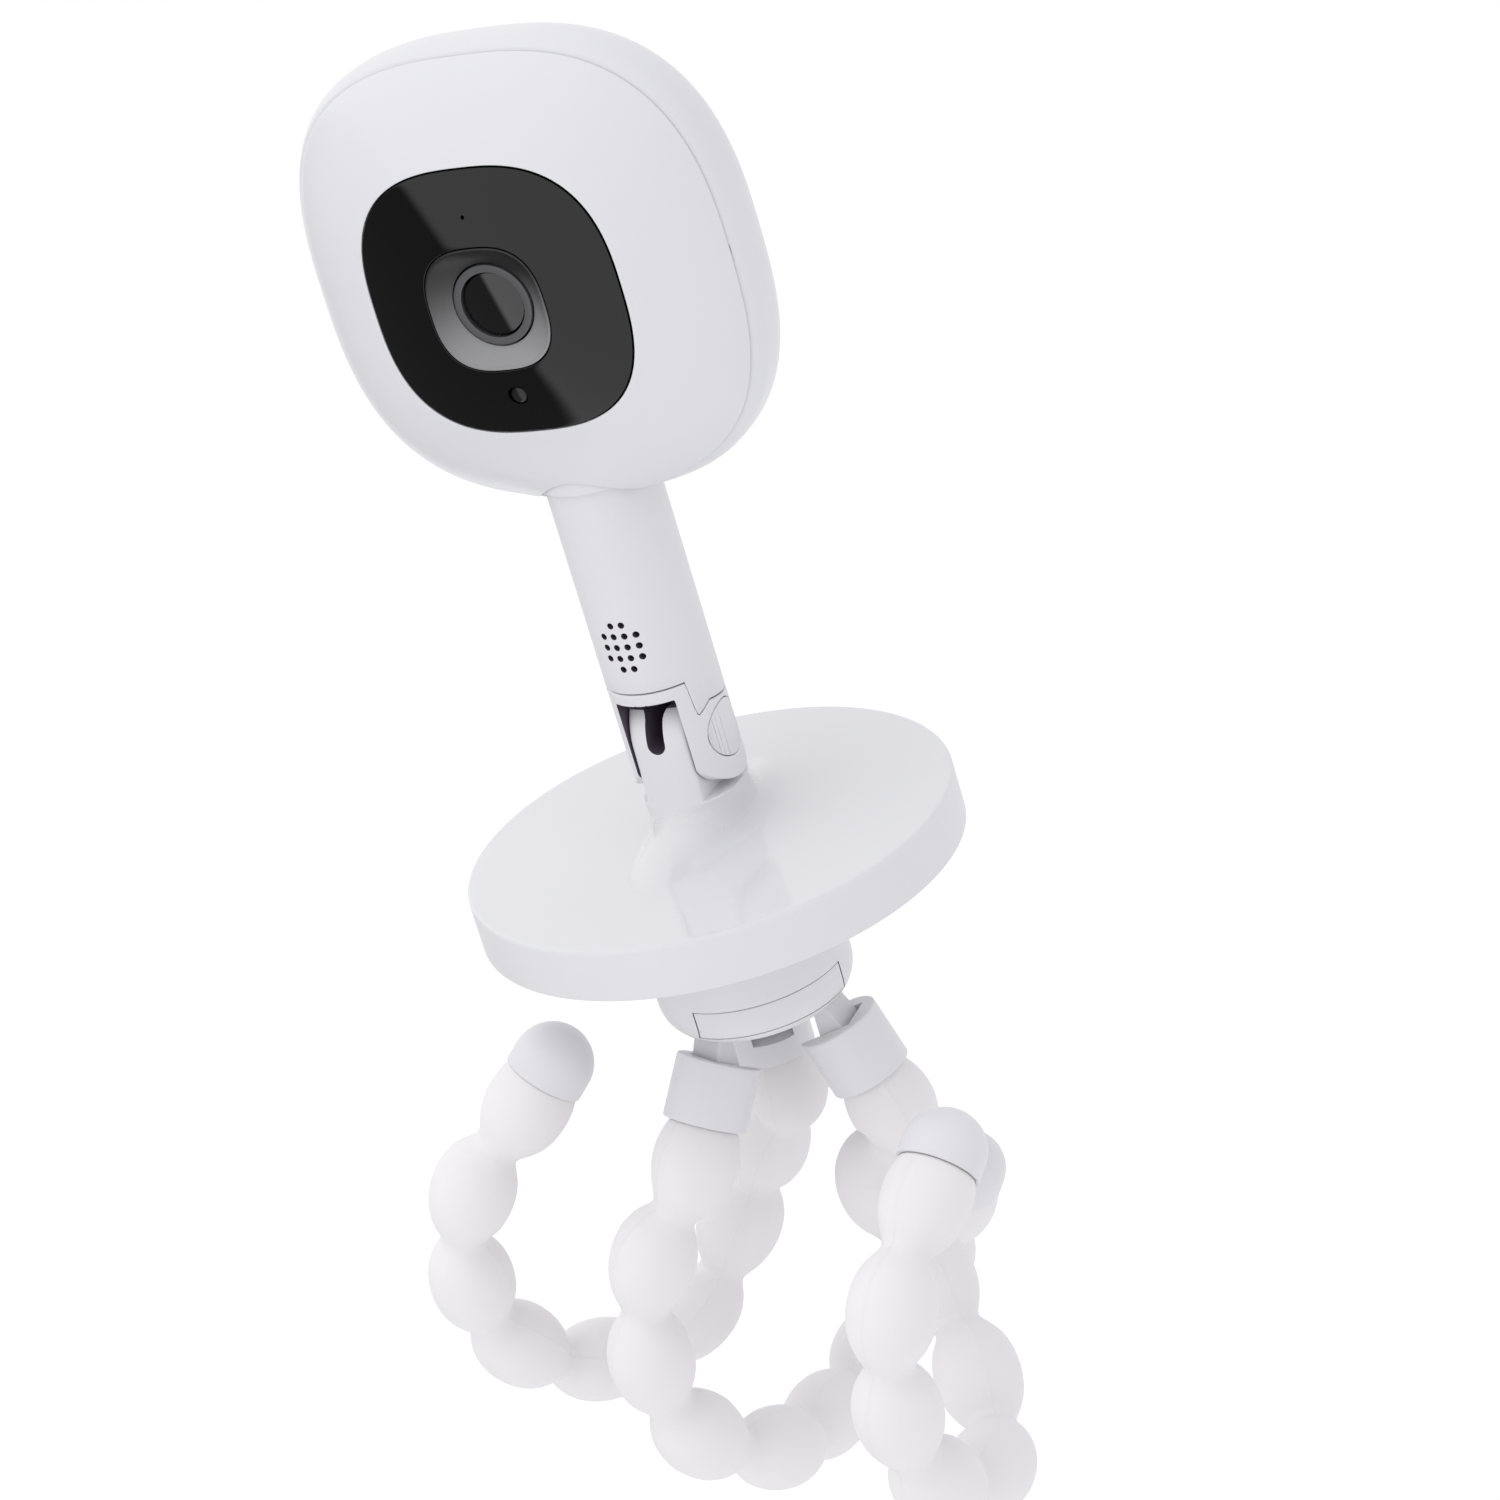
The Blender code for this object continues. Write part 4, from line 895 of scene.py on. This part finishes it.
# --- carried CAD nodes ------------------------------------------------------------------------
def dress_nodes():
    """Better materials for the CAD nodes that stay in view or inside."""
    # Grey satin parts inside take the dark painted-shade look.
    looks = {"circuit": "board", "steel": "steel", "grey_satin": "painted_shade", "rubber": "rubber"}
    slots = {part["node"]: part["material_slot"] for part in frame["record"]["subparts"]}
    for name, node in frame["nodes"].items():
        if not node.hide_render:
            node.data.materials.clear()
            node.data.materials.append(LOOKS[looks[slots[name]]])
    # Painted shade: the axle, seen in the fork's slot, takes the dark look.
    frame["nodes"]["hinge_axle"].data.materials[0] = LOOKS["painted_shade"]


# --- stage --------------------------------------------------------------------------------------
def view_frame():
    """Right, up and backward directions of the camera."""
    a, e, roll = (math.radians(angle) for angle in (VIEW_AZIMUTH, VIEW_ELEVATION, VIEW_ROLL))
    back = Vector((math.sin(a) * math.cos(e), -math.cos(a) * math.cos(e), math.sin(e)))
    right = Vector((math.cos(a), math.sin(a), 0.0))
    up = back.cross(right)
    return (right * math.cos(roll) + up * math.sin(roll), up * math.cos(roll) - right * math.sin(roll),
            back)


def build_camera():
    """A long-lens camera aimed just above the disc, rolled so that the stem leans in view."""
    right, up, back = view_frame()
    spot = DISC_TOP + (back * VIEW_DISTANCE + right * VIEW_SHIFT[0] + up * VIEW_SHIFT[1]) * MM
    camera = bpy.data.objects.new("camera", bpy.data.cameras.new("camera"))
    camera.data.lens = FOCAL_LENGTH
    camera.data.sensor_width = 36.0
    camera.data.clip_start = 0.01
    camera.matrix_world = Matrix.Translation(spot) @ Matrix((right, up, back)).transposed().to_4x4()
    bpy.context.scene.collection.objects.link(camera)
    bpy.context.scene.camera = camera


def build_floor():
    """A wide pale floor well below the legs, which reflections don't see."""
    build = bmesh.new()
    bmesh.ops.create_grid(build, x_segments=2, y_segments=2, size=FLOOR_HALF * MM)
    mesh = bpy.data.meshes.new("floor")
    build.to_mesh(mesh)
    build.free()
    mesh.materials.append(look("floor_white", (0.97, 0.97, 0.97), 0.9, 0.004, 0.02, (60.0, 0.01)))
    floor = bpy.data.objects.new("floor", mesh)
    floor.location.z = CAD_BOX[0][2] - FLOOR_DROP * MM
    floor.visible_glossy = False
    bpy.context.scene.collection.objects.link(floor)


def area_light(name, spot, target, size, energy):
    """A soft rectangular light that faces a target."""
    data = bpy.data.lights.new(name, "AREA")
    data.shape = "RECTANGLE"
    data.size, data.size_y = size
    data.energy = energy
    made = bpy.data.objects.new(name, data)
    aim = Vector(target) - Vector(spot)
    made.matrix_world = Matrix.Translation(spot) @ aim.to_track_quat("-Z", "Y").to_matrix().to_4x4()
    made.visible_glossy = False
    bpy.context.scene.collection.objects.link(made)


def build_light():
    """One soft key light, a sky brighter on the left, and a dark card that reflections see."""
    right, up, back = view_frame()
    spot = DISC_TOP + (back * KEY_BACK + up * KEY_UP - right * KEY_LEFT) * MM
    area_light("key", spot, DISC_TOP, (KEY_SIZE * MM, KEY_SIZE * MM), KEY_POWER)
    world = bpy.data.worlds.new("studio")
    bpy.context.scene.world = world
    world.use_nodes = True
    nodes, links = world.node_tree.nodes, world.node_tree.links
    sky = nodes["Background"]
    sky.inputs["Strength"].default_value = 1.0
    place = nodes.new("ShaderNodeTexCoord")

    def halves(direction, middle, width, low, high):
        """A colour that turns from low to high across a band of directions."""
        facing = nodes.new("ShaderNodeVectorMath")
        facing.operation = "DOT_PRODUCT"
        facing.inputs[1].default_value = direction
        links.new(place.outputs["Generated"], facing.inputs[0])
        edge = nodes.new("ShaderNodeMapRange")
        edge.interpolation_type = "SMOOTHSTEP"
        edge.inputs["From Min"].default_value = middle - width
        edge.inputs["From Max"].default_value = middle + width
        links.new(facing.outputs["Value"], edge.inputs["Value"])
        return mixed(edge.outputs["Result"], low, high)

    def mixed(share, low, high):
        mix = nodes.new("ShaderNodeMix")
        mix.data_type = "RGBA"
        links.new(share, mix.inputs["Factor"])
        for socket, colour in (("A", low), ("B", high)):
            if isinstance(colour, tuple):
                mix.inputs[socket].default_value = (*colour, 1.0)
            else:
                links.new(colour, mix.inputs[socket])
        return mix.outputs["Result"]

    ray = nodes.new("ShaderNodeLightPath")
    ambient = halves(-right, 0.0, 1.0, SKY_RIGHT, SKY_LEFT)
    cards = halves(CARD_FACING, CARD_EDGE, CARD_SOFT, CARD_DARK, CARD_BRIGHT)
    links.new(mixed(ray.outputs["Is Glossy Ray"], ambient, cards), sky.inputs["Color"])


build_camera()
build_head()
build_window()
build_optics()
build_stem()
build_fork()
build_base()
build_hub()
build_leg_mount()
for leg in LEGS:
    build_leg(leg)
dress_nodes()
build_floor()
build_light()
bpy.context.scene.view_settings.view_transform = "Standard"
